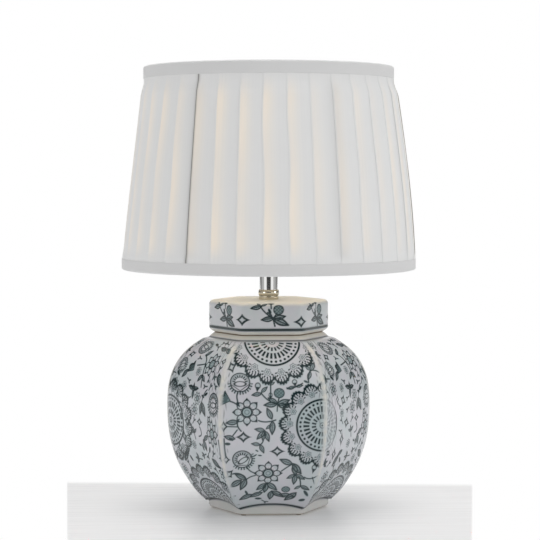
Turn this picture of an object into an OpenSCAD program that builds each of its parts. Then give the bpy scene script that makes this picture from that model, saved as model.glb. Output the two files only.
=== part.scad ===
// Table lamp: a six-sided porcelain jar with a lid, a chrome stem, a screw
// lampholder with a bulb, and a pleated cloth shade on a wire frame.
// The origin is on the table, under the middle of the jar. +Z is up, and one
// flat side of the jar looks along -Y. Millimetres.

/* [Jar] */
// Corner radius at the widest part of the belly
jar_belly_r = 105; // [98:0.5:110]
// Height of the widest part above the underside of the foot
jar_belly_z = 106; // [100:1:112]
// Depth of the curve below the widest part
jar_lower_h = 119; // [114:1:140]
// Fullness of the lower curve
jar_lower_power = 2.3; // [2:0.05:2.6]
// Height of the curve above the widest part
jar_upper_h = 87; // [84:1:100]
// Fullness of the upper curve
jar_upper_power = 2.65; // [2.2:0.05:3]
// Height of the line where the shoulder turns up into the rim
jar_shoulder_z = 177.5; // [172:0.5:180]
// Corner radius of the shoulder line
jar_shoulder_r = 62.4; // [60:0.2:66]
// Height of the rim that the lid sits on
jar_rim_z = 183; // [182:0.5:190]
// Corner radius of that rim
jar_rim_r = 56.5; // [54:0.5:59]
// Thickness of the porcelain
jar_wall = 6; // [4:0.5:8]
// Sharpness of the six corners, where a higher number is sharper
corner_power = 24; // [14:1:40]
// Thickness of the ring that stands up into the lid, round the mouth
upstand_wall = 5; // [3:0.5:8]
// Height of that ring above the rim
upstand_h = 10; // [4:1:20]

/* [Foot] */
// Height of the upright foot
foot_h = 10; // [9.6:0.2:14]
// Corner radius of the foot
foot_r = 62.6; // [60:0.2:66]
// Rounding of the foot's lower edge
foot_edge = 3.4; // [1:0.2:4]
// Thickness of the foot
foot_wall = 10; // [8:0.5:14]
// Height of the hidden floor above the underside of the foot
floor_z = 19; // [17:0.5:26]
// Thickness of the floor
floor_t = 6; // [4:0.5:9]
// Thickness of the felt dots under the foot
pad_t = 0.8; // [0.5:0.1:2]
// Radius of the felt dots
pad_r = 2.8; // [2:0.1:3]

/* [Lid] */
// Height of the lid
lid_h = 33.4; // [26:0.2:45]
// Corner radius of the lid
lid_r = 62; // [60:0.2:66]
// Turn of the lid on the jar, seen from above
lid_turn = -2.3; // [-6:0.1:6]
// Height of the band that curves in at the bottom of the lid
lid_tuck_h = 5; // [3:0.5:8]
// Rounding of the lid's upper edge
lid_edge = 4.6; // [1:0.2:6]
// Thickness of the lid
lid_wall = 5.6; // [4:0.2:7]

/* [Cord inlet] */
// Radius of the hole for the mains cord
inlet_r = 3.1; // [2.5:0.1:3.2]
// Rubber on either side of the hole, where the bush fills its notch in the foot
grommet_wall = 0.7; // [0.5:0.1:0.9]
// How far the bush's two flanges stand out round the notch
grommet_flange_w = 0.6; // [0.3:0.1:0.7]
// Thickness of each flange
grommet_flange_t = 1.2; // [0.8:0.1:2]
// Height of the inlet above the underside of the foot
inlet_z = 4.8; // [4.7:0.1:5]

/* [Rod and fixings] */
// Radius of the threaded rod
rod_r = 5; // [4.5:0.1:5.5]
// Radius of the cord's way through the rod
rod_bore_r = 3.5; // [3:0.1:4]
// Length of rod that shows under the nut
rod_tail = 2; // [0.5:0.5:3]
// Length of rod inside the lampholder
rod_grip = 9; // [5:0.5:10]
// Radius of the rubber gasket under the floor
gasket_r = 22; // [14:1:30]
// Thickness of the gasket
gasket_t = 1.5; // [1:0.1:2.5]
// Radius of the steel clamp plate
plate_r = 24; // [14:1:34]
// Thickness of the clamp plate
plate_t = 2; // [1.5:0.1:3]
// Radius of the toothed lock washer
lock_r = 8; // [7:0.1:10]
// Thickness of the lock washer
lock_t = 1; // [0.5:0.1:1.5]
// Width of the nut across its flats
nut_w = 14; // [13:0.5:17]
// Thickness of the nut
nut_t = 5; // [3:0.5:6]

/* [Stem] */
// Radius of the ring that sits on the lid
neck_base_r = 10.2; // [9.8:0.1:13]
// Height of that ring
neck_base_h = 4; // [2:0.5:8]
// Thickness of the round collar that holds the tube
neck_collar_wall = 1.2; // [0.8:0.1:3]
// Height of the collar
neck_collar_h = 6.4; // [6:0.2:10]
// Depth of the seat in the collar that holds the tube
neck_seat_h = 4.4; // [2:0.2:5]
// Outside radius of the chrome tube
stem_r = 9.5; // [8:0.1:10]
// Wall of the chrome tube
stem_wall = 1.2; // [0.8:0.1:2]
// Length of the chrome tube
stem_h = 40; // [30:1:80]
// How far the cap on the tube stands out from it
stem_cap_lip = 1.5; // [0.5:0.1:3]
// Thickness of the cap on the tube
stem_cap_t = 2.5; // [2:0.1:5]

/* [Lampholder] */
// Height of the round lower housing
skirt_h = 22; // [20:0.5:28]
// Radius of its lower end
skirt_base_r = 11.5; // [11:0.5:14]
// Outside radius of the housing and of its thread
holder_r = 19.9; // [19:0.1:22]
// Wall of the housing
holder_wall = 1.8; // [1.4:0.1:2.4]
// How far the flange that carries the shade stands out
holder_flange_w = 2.9; // [2:0.1:4]
// Thickness of that flange
holder_flange_t = 2.5; // [2:0.1:4]
// Height of the upper housing, with its flange
shell_h = 31; // [28:0.5:34]
// Height of the ceramic insert's lower face in the lower housing
insert_z = 12; // [11:0.5:13]
// Height of the ceramic insert
insert_h = 14; // [12:0.5:16]
// Sheet thickness of the screw shell
socket_t = 0.4; // [0.3:0.05:0.6]
// Height of the screw shell
socket_h = 23; // [20:0.5:25]
// Height that the centre contact stands above the insert
contact_h = 1.4; // [1:0.1:2]
// Thickness of the shade ring, round the thread
shade_ring_wall = 5; // [4:0.1:7]
// Height of the shade ring
shade_ring_h = 6; // [4:0.5:9]
// Number of grip ribs round the shade ring
shade_ring_ribs = 24; // [12:1:30]

/* [Bulb] */
// Radius of the glass
bulb_r = 30; // [27:0.5:31]
// Length of the bulb, from its contact to its top
bulb_h = 105; // [98:1:112]
// Radius of the screw cap
cap_r = 13.15; // [12.9:0.05:13.2]
// Height of the cap, from the contact to its upper edge
cap_h = 25; // [24:0.5:26]
// Radius of the contact on the cap's end
tip_r = 4.6; // [3.5:0.1:5]
// Thickness of the contact on the cap's end
tip_t = 1.6; // [1.2:0.1:2]
// Thickness of the glass
glass_t = 0.8; // [0.6:0.1:1.2]

/* [Shade] */
// Height of the shade
shade_h = 209.6; // [180:0.2:240]
// Outside radius at the lower edge
shade_bottom_r = 152.6; // [140:0.2:170]
// Outside radius at the upper edge
shade_top_r = 129.6; // [115:0.2:139]
// How far the side bows out
shade_bulge = 2.3; // [0:0.1:6]
// Where it bows out most, which is lower for a lower number
shade_bulge_place = 0.7; // [0.5:0.05:1]
// Height of the fitting above the shade's lower edge
shade_drop = 41.5; // [30:0.5:60]
// Turn of the shade on the lampholder, seen from above
shade_turn = -7; // [-30:1:30]
// Number of sewn panels
panels = 6; // [6]
// Number of pleats in a panel
panel_pleats = 6; // [4:1:8]
// Depth of the pleats on the side of the shade
pleat_depth = 2.4; // [1:0.1:4]
// Depth of the pleats where the trim presses them flat
pleat_edge_depth = 0.9; // [0.3:0.1:1.4]
// Thickness of the pleated cloth
cloth_t = 0.7; // [0.5:0.1:1.2]
// Thickness of the lining
lining_t = 0.5; // [0.4:0.1:1]
// Height of the upper trim
top_trim_h = 13; // [8:0.5:20]
// Height of the lower trim
bottom_trim_h = 12; // [8:0.5:20]
// Height of the trim's inner fold
trim_fold_h = 7; // [5:0.5:8]
// Thickness of the trim tape
trim_t = 0.7; // [0.5:0.1:1.2]
// Height over which the pleats spread below the upper trim
top_spread = 18; // [6:1:30]
// Height over which the pleats spread above the lower trim
bottom_spread = 10; // [6:1:30]
// Radius of the wire of the two rings
ring_wire_r = 1.5; // [1.2:0.1:2]
// Radius of the wire of the upright struts
strut_wire_r = 1.2; // [0.9:0.1:1.5]
// Radius of the wire of the three arms
arm_wire_r = 1.5; // [1:0.1:1.6]
// Width of the fitting's flat ring
fitter_w = 4; // [3.6:0.1:5]
// Thickness of the fitting
fitter_t = 1.6; // [1.2:0.1:2.4]

/* [Clearances] */
// Gap round the rod in the holes it passes through
rod_clear = 0.3; // [0.2:0.05:0.6]
// Gap between screw threads, which are plain here
thread_clear = 0.05; // [0.02:0.01:0.1]
// Gap between the lid and the rim it rests on
lid_clear = 0.3; // [0.1:0.05:0.5]
// Gap between the lid and the ring that stands up inside it
upstand_clear = 1.4; // [0.5:0.1:3]
// Gap round the bulb's cap in the screw shell
cap_clear = 0.3; // [0.2:0.05:0.5]
// Gap round the lampholder's thread in the shade's fitting
fitter_clear = 0.6; // [0.3:0.1:1.2]
// Gap round pieces that slide into one another
slide_clear = 0.1; // [0.05:0.01:0.2]
// Gap between the faces that turn on one another at the shade fitting
turn_clear = 0.05; // [0.03:0.01:0.1]
// Gap between layers of cloth, trim and wire
soft_clear = 0.3; // [0.2:0.05:0.4]

/* [Hidden] */
$fn = 96;

// Sides of the jar and of the lid
jar_sides = 6;
side_angle = 360 / jar_sides;
// Places of the points across one flat side, in degrees from its middle
side_steps = [for (s = [-1, -0.9, -0.73, -0.37, 0, 0.37, 0.73, 0.9]) s * side_angle / 2];
// Rings of points up the outside and down the inside of the belly
belly_rings = 15;
cavity_rings = 7;

// Heights up the rod, from the table
jar_z = pad_t;
floor_under_z = jar_z + floor_z;
gasket_z = floor_under_z - gasket_t;
plate_z = gasket_z - plate_t;
lock_z = plate_z - lock_t;
nut_z = lock_z - nut_t;
rod_low_z = nut_z - rod_tail;
lid_z = jar_z + jar_rim_z + lid_clear;
neck_z = lid_z + lid_h;
collar_z = neck_z + neck_base_h;
tube_z = collar_z + neck_collar_h - neck_seat_h;
stem_cap_z = tube_z + stem_h;
holder_z = stem_cap_z + stem_cap_t;
shell_z = holder_z + skirt_h;
insert_top_z = holder_z + insert_z + insert_h;
fitter_z = shell_z + holder_flange_t + turn_clear;
ring_z = fitter_z + fitter_t + turn_clear;
tip_z = insert_top_z + contact_h;

// The foot, from the same values as the jar
recess_r = foot_r - foot_wall;
foot_face = foot_r * side_depth(0);
recess_face = recess_r * side_depth(0);
foot_top = foot_h - 0.5;
floor_r = cavity_r(floor_z) - jar_wall;
pad_place_r = (recess_r + foot_r - foot_edge) / 2;
rod_hole_r = rod_r + rod_clear;
grommet_r = inlet_r + grommet_wall;
grommet_flange_r = grommet_r + grommet_flange_w;

// Pieces that fit round or inside one another
upstand_r = (jar_rim_r - lid_wall) * side_depth(0) - upstand_clear;
mouth_r = upstand_r - upstand_wall;
neck_collar_r = stem_r + slide_clear + neck_collar_wall;
stem_cap_r = stem_r + stem_cap_lip;
holder_inner_r = holder_r - holder_wall;
holder_flange_r = holder_r + holder_flange_w;
socket_r = cap_r + cap_clear;
shade_ring_r = holder_r + slide_clear + shade_ring_wall;
fitter_r = holder_r + fitter_clear;
fitter_rim_r = fitter_r + fitter_w;
// The rivet that holds the centre contact in the insert
rivet_r = 2.6;
rivet_depth = 5;
// The two terminal screws, on either side of the insert
terminal_place = 10;
terminal_r = 1.6;
terminal_depth = 6;
terminal_head_h = 1.8;
// The coil's mount stands this far up inside the bulb, from inside the cap
mount_low_z = cap_h - 8;
mount_h = 38;

// The shade's place and its layers
shade_z = fitter_z - shade_drop;
shade_top_z = shade_z + shade_h;
panel_angle = 360 / panels;
seam_angle = 0.25;
cover_inset = trim_t + 2 * soft_clear + pleat_edge_depth + cloth_t;
strut_inset = cover_inset + strut_wire_r;
ring_inset = cover_inset + ring_wire_r;
ring_edge = trim_t + soft_clear + ring_wire_r;
lining_inset = ring_inset + ring_wire_r + soft_clear;
fold_inset = lining_inset + lining_t + soft_clear;
trim_round = 2;
cloth_edge = trim_round + 0.2;
// Heights of the rows of points on a pleated panel, measured up the shade
panel_rows = [
    cloth_edge, bottom_trim_h, bottom_trim_h + bottom_spread, shade_h * 0.35,
    shade_h * 0.6, shade_h - top_trim_h - top_spread, shade_h - top_trim_h - top_spread / 2,
    shade_h - top_trim_h, shade_h - cloth_edge
];
// Places across one pleat, and how deep each lies, from the fold to the next
pleat_places = [0, 0.45, 0.86];
pleat_depths = [0, 0.55, 1];
arm_angles = [30, 150, 270];

// Radius of a soft-cornered hexagon, as a share of its corner radius, at an
// angle from the middle of a flat side: the sides are joined by a power mean.
function side_sum(a) = [for (k = [0 : jar_sides - 1]) pow(max(0, cos(a - side_angle * k)), corner_power)];
function total(v, i = 0) = i >= len(v) ? 0 : v[i] + total(v, i + 1);
function raw_side(a) = pow(total(side_sum(a)), -1 / corner_power);
function side_depth(a) = raw_side(a) / raw_side(side_angle / 2);

// Corner radius of the jar's outside at a height above the foot
function belly_r(z) = z < jar_belly_z
    ? jar_belly_r * sqrt(1 - pow((jar_belly_z - z) / jar_lower_h, jar_lower_power))
    : jar_belly_r * sqrt(1 - pow((z - jar_belly_z) / jar_upper_h, jar_upper_power));

// The same for the inside, with every axis of the curve less by the wall
function cavity_r(z) = z < jar_belly_z
    ? (jar_belly_r - jar_wall)
        * sqrt(1 - pow((jar_belly_z - z) / (jar_lower_h - jar_wall), jar_lower_power))
    : (jar_belly_r - jar_wall)
        * sqrt(1 - pow((z - jar_belly_z) / (jar_upper_h - jar_wall), jar_upper_power));

// Height of ring i of n between two levels, closer together at both ends
function ring_height(low, high, i, n) = low + (high - low) * (1 - cos(180 * i / n)) / 2;

// Points of a ring: height, corner radius, and 1 for a hexagon or 0 for a circle
function ring_points(ring) = [
    for (side = [0 : jar_sides - 1], step = side_steps)
        let (a = side * side_angle + step, r = ring[1] * (1 - ring[2] + ring[2] * side_depth(step)))
        [r * sin(a), -r * cos(a), ring[0]]
];

// A closed shell of rings, each joined to the next, and the last to the first
module ring_shell(rings) {
    n = jar_sides * len(side_steps);
    m = len(rings);
    polyhedron(
        points = [for (ring = rings) each ring_points(ring)],
        faces = [
            for (i = [0 : m - 1], j = [0 : n - 1])
                let (a = i * n + j, b = i * n + (j + 1) % n,
                     c = ((i + 1) % m) * n + (j + 1) % n, d = ((i + 1) % m) * n + j)
                each [[a, c, b], [a, d, c]]
        ]
    );
}

// A plain round rod or hole along Z
module rod_at(z, h, r) {
    translate([0, 0, z])
        cylinder(h = h, r = r);
}

// A block across the foot's wall, as wide and as high over the inlet as its half
// width, from a place along Y and up from a height
module inlet_block(y, length, half_w, low) {
    translate([-half_w, y, low])
        cube([2 * half_w, length, inlet_z + half_w - low]);
}

// A flat ring or tube along Z
module tube_at(z, h, outer_r, inner_r) {
    difference() {
        rod_at(z, h, outer_r);
        rod_at(z - 1, h + 2, inner_r);
    }
}

// The porcelain jar above its foot, open below for the floor
module jar_body() {
    floor_top = floor_z + floor_t;
    cavity_top = jar_shoulder_z - jar_wall / 3;
    color("#dfe3e6")
        translate([0, 0, jar_z])
            ring_shell([
                [floor_top, floor_r, 1],
                [floor_z, floor_r, 1],
                [foot_h + 2, recess_r, 1],
                [foot_top, recess_r, 1],
                [foot_top, foot_r, 1],
                for (i = [0 : belly_rings])
                    let (z = ring_height(foot_h, jar_shoulder_z, i, belly_rings))
                    [z, i == belly_rings ? jar_shoulder_r : belly_r(z), 1],
                [(jar_shoulder_z + jar_rim_z) / 2, jar_rim_r + (jar_shoulder_r - jar_rim_r) * 0.4, 1],
                [jar_rim_z, jar_rim_r, 1],
                [jar_rim_z, upstand_r, 0],
                [jar_rim_z + upstand_h, upstand_r, 0],
                [jar_rim_z + upstand_h, mouth_r, 0],
                [cavity_top, mouth_r, 0],
                for (i = [cavity_rings : -1 : 0])
                    let (z = ring_height(floor_top, cavity_top - 1, i, cavity_rings))
                    [z, cavity_r(z), 1]
            ]);
}

// The upright foot, with a notch for the cord at the back
module jar_foot() {
    color("#dfe3e6")
        translate([0, 0, jar_z])
            difference() {
                ring_shell([
                    [foot_top, recess_r, 1],
                    [0, recess_r, 1],
                    [0, foot_r - foot_edge, 1],
                    [foot_edge * 0.3, foot_r - foot_edge * 0.3, 1],
                    [foot_edge, foot_r, 1],
                    [foot_top, foot_r, 1]
                ]);
                inlet_block(recess_face - 3, foot_wall + 6, grommet_r + slide_clear, -1);
            }
}

// The floor inside the jar, which the rod clamps
module jar_floor() {
    color("#dfe3e6")
        difference() {
            translate([0, 0, jar_z])
                ring_shell([
                    [floor_z, rod_bore_r, 0],
                    [floor_z, floor_r, 1],
                    [floor_z + floor_t, floor_r, 1],
                    [floor_z + floor_t, rod_bore_r, 0]
                ]);
            rod_at(floor_under_z - 1, floor_t + 2, rod_hole_r);
        }
}

module jar_lid() {
    top_in = lid_h - lid_wall;
    tuck_r = jar_rim_r;
    color("#e3e4e2")
        difference() {
            translate([0, 0, lid_z])
                rotate([0, 0, lid_turn])
                    ring_shell([
                        [top_in, rod_bore_r, 0],
                        [top_in, lid_r - lid_wall - 2, 1],
                        [top_in - 2, lid_r - lid_wall, 1],
                        [lid_tuck_h, lid_r - lid_wall, 1],
                        [0, tuck_r - lid_wall, 1],
                        [0, tuck_r, 1],
                        [lid_tuck_h * 0.3, tuck_r + (lid_r - tuck_r) * 0.5, 1],
                        [lid_tuck_h * 0.65, tuck_r + (lid_r - tuck_r) * 0.86, 1],
                        [lid_tuck_h, lid_r, 1],
                        [lid_h - lid_edge, lid_r, 1],
                        [lid_h - lid_edge * 0.45, lid_r - lid_edge * 0.12, 1],
                        [lid_h - lid_edge * 0.12, lid_r - lid_edge * 0.45, 1],
                        [lid_h, lid_r - lid_edge, 1],
                        [lid_h, rod_bore_r, 0]
                    ]);
            rod_at(lid_z - 1, lid_h + 2, rod_hole_r);
        }
}

module foot_pads() {
    color("#6f6a60")
        for (k = [0 : jar_sides - 1])
            rotate([0, 0, side_angle * (k + 0.5)])
                translate([0, -pad_place_r, 0])
                    cylinder(h = pad_t, r = pad_r);
}

// A rubber bush in the notch in the foot, on the +Y side, with a flange on each
// side of the wall
module cord_grommet() {
    flange_y = recess_face - grommet_flange_t;
    color("#2c2d2e")
        translate([0, 0, jar_z])
            difference() {
                union() {
                    inlet_block(flange_y, foot_face + grommet_flange_t - flange_y, grommet_r, 0);
                    inlet_block(flange_y, grommet_flange_t, grommet_flange_r, 0);
                    inlet_block(foot_face, grommet_flange_t, grommet_flange_r, 0);
                }
                translate([0, flange_y - 1, inlet_z])
                    rotate([-90, 0, 0])
                        cylinder(h = foot_wall + 2 * grommet_flange_t + 2, r = inlet_r);
            }
}

module threaded_rod() {
    color("#b9a15c")
        tube_at(rod_low_z, holder_z + rod_grip - rod_low_z, rod_r, rod_bore_r);
}

module base_gasket() {
    color("#26282a")
        tube_at(gasket_z, gasket_t, gasket_r, rod_hole_r);
}

module clamp_plate() {
    color("#a9adb0")
        tube_at(plate_z, plate_t, plate_r, rod_hole_r);
}

module lock_washer() {
    teeth = 12;
    color("#c3c7c9")
        difference() {
            rod_at(lock_z, lock_t, lock_r);
            rod_at(lock_z - 1, lock_t + 2, rod_r + rod_clear);
            for (k = [0 : teeth - 1])
                rotate([0, 0, 360 / teeth * k])
                    translate([lock_r, 0, lock_z - 1])
                        cylinder(h = lock_t + 2, r = 0.7);
        }
}

module base_nut() {
    color("#b9a15c")
        difference() {
            translate([0, 0, nut_z])
                cylinder(h = nut_t, r = nut_w / sqrt(3), $fn = 6);
            rod_at(nut_z - 1, nut_t + 2, rod_r + thread_clear);
        }
}

module neck_base_ring() {
    color("#cfd2d4")
        tube_at(neck_z, neck_base_h, neck_base_r, rod_hole_r);
}

// A turned collar with a rounded rim, and a seat for the tube
module neck_collar() {
    bead = neck_collar_h / 2;
    lean = 1.1;
    color("#d9dcde")
        translate([0, 0, collar_z])
            rotate_extrude()
                polygon([
                    [rod_hole_r, 0],
                    for (a = [-90 : 15 : 90])
                        [neck_collar_r - lean + lean * cos(a), bead + bead * sin(a)],
                    [stem_r + slide_clear, neck_collar_h],
                    [stem_r + slide_clear, neck_collar_h - neck_seat_h],
                    [rod_hole_r, neck_collar_h - neck_seat_h]
                ]);
}

module stem_tube() {
    color("#dfe2e4")
        tube_at(tube_z, stem_h, stem_r, stem_r - stem_wall);
}

// A turned cap with a spigot that centres the tube on the rod
module stem_cap() {
    spigot_h = 6;
    color("#d9dcde")
        difference() {
            union() {
                rod_at(stem_cap_z, stem_cap_t, stem_cap_r);
                rod_at(stem_cap_z - spigot_h, spigot_h, stem_r - stem_wall - slide_clear);
            }
            rod_at(stem_cap_z - spigot_h - 1, stem_cap_t + spigot_h + 2, rod_hole_r);
        }
}

// A round cup on the rod, with a threaded boss inside its lower end
module lampholder_skirt() {
    inner_base_r = skirt_base_r - holder_wall;
    boss_r = rod_r + 2.5;
    color("#e9e8e4")
        translate([0, 0, holder_z])
            rotate_extrude()
                polygon([
                    [rod_r + thread_clear, 0],
                    for (a = [0 : 15 : 90])
                        [skirt_base_r + (holder_r - skirt_base_r) * sin(a), insert_z * (1 - cos(a))],
                    [holder_r, skirt_h],
                    [holder_inner_r, skirt_h],
                    for (a = [90 : -15 : 0])
                        [inner_base_r + (holder_inner_r - inner_base_r) * sin(a),
                         holder_wall + (insert_z - holder_wall) * (1 - cos(a))],
                    [boss_r, holder_wall],
                    [boss_r, rod_grip],
                    [rod_r + thread_clear, rod_grip]
                ]);
}

// The upper housing, with the flange that the shade rests on and a lip
module lampholder_shell() {
    lip_t = 2;
    lip_r = socket_r + socket_t + slide_clear;
    color("#efeeea")
        translate([0, 0, shell_z])
            rotate_extrude()
                polygon([
                    [holder_inner_r, 0],
                    [holder_flange_r, 0],
                    [holder_flange_r, holder_flange_t],
                    [holder_r, holder_flange_t],
                    [holder_r, shell_h - 1],
                    [holder_r - 1, shell_h],
                    [lip_r, shell_h],
                    [lip_r, shell_h - lip_t],
                    [holder_inner_r, shell_h - lip_t - 1.5]
                ]);
}

// A ceramic block that carries the contacts, with two screw holes
module lampholder_insert() {
    color("#f1efe8")
        difference() {
            rod_at(holder_z + insert_z, insert_h, holder_inner_r - slide_clear);
            rod_at(insert_top_z - rivet_depth, rivet_depth + 1, rivet_r + slide_clear);
            for (side = [-1, 1])
                translate([side * terminal_place, 0, holder_z + insert_z - 1])
                    cylinder(h = terminal_depth + 1.2, r = terminal_r + slide_clear);
        }
}

module screw_shell() {
    color("#c9a24a")
        translate([0, 0, insert_top_z])
            rotate_extrude()
                polygon([
                    [tip_r + 4, 0],
                    [socket_r + socket_t, 0],
                    [socket_r + socket_t, socket_h],
                    [socket_r, socket_h],
                    [socket_r, socket_t],
                    [tip_r + 4, socket_t]
                ]);
}

// A riveted blade that springs up under the bulb
module centre_contact() {
    blade_w = 5;
    color("#cfae5c")
        union() {
            rod_at(insert_top_z - rivet_depth, rivet_depth, rivet_r);
            translate([-blade_w / 2, -blade_w, insert_top_z])
                cube([blade_w, 2 * blade_w, contact_h / 2]);
            rod_at(insert_top_z, contact_h - turn_clear, 2.2);
        }
}

// A brass tag that joins the screw shell to the second terminal
module side_contact() {
    tag_w = 4;
    tag_t = 0.8;
    tag_h = 7;
    color("#cfae5c")
        translate([-tag_w / 2, socket_r + socket_t, insert_top_z])
            cube([tag_w, tag_t, tag_h]);
}

module terminal_screws() {
    color("#b4b8ba")
        for (side = [-1, 1])
            translate([side * terminal_place, 0, holder_z + insert_z - terminal_head_h])
                union() {
                    cylinder(h = terminal_head_h, r = terminal_r + 1.2);
                    cylinder(h = terminal_head_h + terminal_depth, r = terminal_r);
                }
}

// A threaded ring with grip ribs, which clamps the shade's fitting
module shade_ring() {
    rib_r = 0.8;
    color("#efeeea")
        difference() {
            union() {
                rod_at(ring_z, shade_ring_h, shade_ring_r - rib_r);
                for (k = [0 : shade_ring_ribs - 1])
                    rotate([0, 0, 360 / shade_ring_ribs * k])
                        translate([shade_ring_r - rib_r, 0, ring_z])
                            cylinder(h = shade_ring_h, r = rib_r);
            }
            rod_at(ring_z - 1, shade_ring_h + 2, holder_r + slide_clear);
        }
}

// Radius of the glass at a height above the contact: a cubic neck from the cap
// to the ball, which it meets at this angle below the ball's middle.
neck_r = cap_r - 0.9;
neck_angle = 40;
ball_z = bulb_h - bulb_r;
neck_low_z = cap_h + 1;
neck_high_z = ball_z - bulb_r * sin(neck_angle);

function neck_radius(u) = let (
        low = neck_r,
        high = bulb_r * cos(neck_angle),
        rise = tan(neck_angle) * (neck_high_z - neck_low_z)
    )
    low * (2 * pow(u, 3) - 3 * pow(u, 2) + 1) + high * (3 * pow(u, 2) - 2 * pow(u, 3))
        + rise * (pow(u, 3) - pow(u, 2));

// Points up the glass, drawn in by an inset, from the cap to the crown
function glass_points(inset) = [
    [neck_r - inset, mount_low_z],
    for (i = [0 : 8])
        [neck_radius(i / 8) - inset, neck_low_z + (neck_high_z - neck_low_z) * i / 8],
    for (i = [1 : 11])
        let (a = -neck_angle + (90 + neck_angle) * i / 12)
        [(bulb_r - inset) * cos(a), ball_z + (bulb_r - inset) * sin(a)]
];

function reversed(v) = [for (i = [len(v) - 1 : -1 : 0]) v[i]];

module bulb_glass() {
    color("#fbf6ea", 0.8)
        translate([0, 0, tip_z])
            rotate_extrude()
                polygon([
                    each glass_points(0),
                    [0, bulb_h],
                    [0, bulb_h - glass_t],
                    each reversed(glass_points(glass_t))
                ]);
}

// The screw cap, a plain thin cup here, open where the insulator closes it
module bulb_cap() {
    cap_t = 0.4;
    cone_z = 5;
    color("#c9ccce")
        translate([0, 0, tip_z])
            rotate_extrude()
                polygon([
                    [10, cone_z - 1],
                    [cap_r, cone_z + 1.5],
                    [cap_r, cap_h],
                    [neck_r + slide_clear, cap_h],
                    [neck_r + slide_clear, cap_h - 1],
                    [cap_r - cap_t, cap_h - 1.5],
                    [cap_r - cap_t, cone_z + 2],
                    [10, cone_z - 0.4]
                ]);
}

module bulb_insulator() {
    color("#1d1d20")
        translate([0, 0, tip_z])
            rotate_extrude()
                polygon([
                    [0, tip_t],
                    [tip_r + 0.4, tip_t],
                    [9.9, 4],
                    [9.9, 4.6],
                    [0, 4.6]
                ]);
}

module bulb_tip() {
    color("#b9b7ae")
        translate([0, 0, tip_z])
            rotate_extrude()
                polygon([
                    [0, 0],
                    [tip_r - 1.4, 0],
                    [tip_r, tip_t - 0.6],
                    [tip_r, tip_t],
                    [0, tip_t]
                ]);
}

// The glass mount inside the bulb, which flares to meet the neck
module bulb_stem() {
    color("#e9efef", 0.6)
        translate([0, 0, tip_z + mount_low_z])
            rotate_extrude()
                polygon([
                    [0, 0],
                    [neck_r - glass_t, 0],
                    [neck_r - glass_t, 1],
                    [5, 6],
                    [3, 14],
                    [3, mount_h - 4],
                    [2, mount_h],
                    [0, mount_h]
                ]);
}

// Two lead wires with the coil between them
module bulb_filament() {
    mount_top = tip_z + mount_low_z + mount_h;
    spread = 11;
    rise = 16;
    wire_r = 0.35;
    color("#8d8f91")
        union() {
            rod_at(mount_top, 2, 1);
            for (side = [-1, 1])
                translate([0, 0, mount_top + 1])
                    rotate([0, side * atan(spread / rise), 0])
                        cylinder(h = sqrt(spread * spread + rise * rise), r = wire_r);
            translate([-spread, 0, mount_top + 1 + rise])
                rotate([0, 90, 0])
                    cylinder(h = 2 * spread, r = 0.6);
        }
}

// Smooth step from 0 to 1
function ease(x) = let (u = min(1, max(0, x))) u * u * (3 - 2 * u);

// Outside radius of the shade's bowed side, at a height up the shade
function side_r(z) = let (t = z / shade_h)
    shade_bottom_r + (shade_top_r - shade_bottom_r) * t
        + shade_bulge * sin(180 * pow(min(1, max(0, t)), shade_bulge_place));

// 1 where a trim presses the cloth flat, falling to 0 on the free side
function pressed_low(z) = 1 - ease((z - bottom_trim_h) / bottom_spread);
function pressed_high(z) = 1 - ease((shade_h - top_trim_h - z) / top_spread);
function pressed(z) = max(pressed_low(z), pressed_high(z));

// Outside radius of the pleats: the bowed side, drawn in under the trims
function cover_r(z) = let (low = pressed_low(z), high = pressed_high(z))
    side_r(z) * (1 - low - high)
        + (shade_bottom_r - trim_t - soft_clear) * low
        + (shade_top_r - trim_t - soft_clear) * high;

function pleat_at(z) = pleat_depth + (pleat_edge_depth - pleat_depth) * pressed(z);

// Middle line of the struts, just inside the pleats
function strut_r(z) = cover_r(z) - pleat_at(z) - cloth_t - soft_clear - strut_wire_r;

// Outside radius of the lining, which hangs inside the struts and the rings
function lining_r(z) = strut_r(z) - (lining_inset - strut_inset);

// The shade's own turn, and its lower edge at z = 0
module on_shade() {
    translate([0, 0, shade_z])
        rotate([0, 0, shade_turn])
            children();
}

// A wire through points in the XZ plane, as an eight-sided tube
module bent_wire(line, r) {
    sides = 8;
    last = len(line) - 1;
    polyhedron(
        points = [
            for (i = [0 : last])
                let (along = line[min(i + 1, last)] - line[max(i - 1, 0)],
                     out = [along[1], -along[0]] / norm(along))
                for (k = [0 : sides - 1])
                    let (a = 360 * k / sides)
                    [line[i][0] + r * cos(a) * out[0], r * sin(a), line[i][1] + r * cos(a) * out[1]]
        ],
        faces = [
            [for (k = [0 : sides - 1]) k],
            [for (k = [sides - 1 : -1 : 0]) last * sides + k],
            for (i = [0 : last - 1], k = [0 : sides - 1])
                let (a = i * sides + k, b = i * sides + (k + 1) % sides)
                each [[a, a + sides, b], [b, a + sides, b + sides]]
        ]
    );
}

// The three arms, grown by a gap where they pass through cloth
module fitter_arms(gap) {
    root_r = shade_bottom_r - ring_inset;
    root_z = ring_edge;
    tip = fitter_rim_r - arm_wire_r;
    lift = shade_drop + fitter_t / 2 - root_z;
    for (a = arm_angles)
        rotate([0, 0, a])
            translate([0, -root_r, root_z])
                rotate([-atan((root_r - tip) / lift), 0, 0])
                    cylinder(h = sqrt(pow(root_r - tip, 2) + lift * lift), r = arm_wire_r + gap);
}

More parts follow.
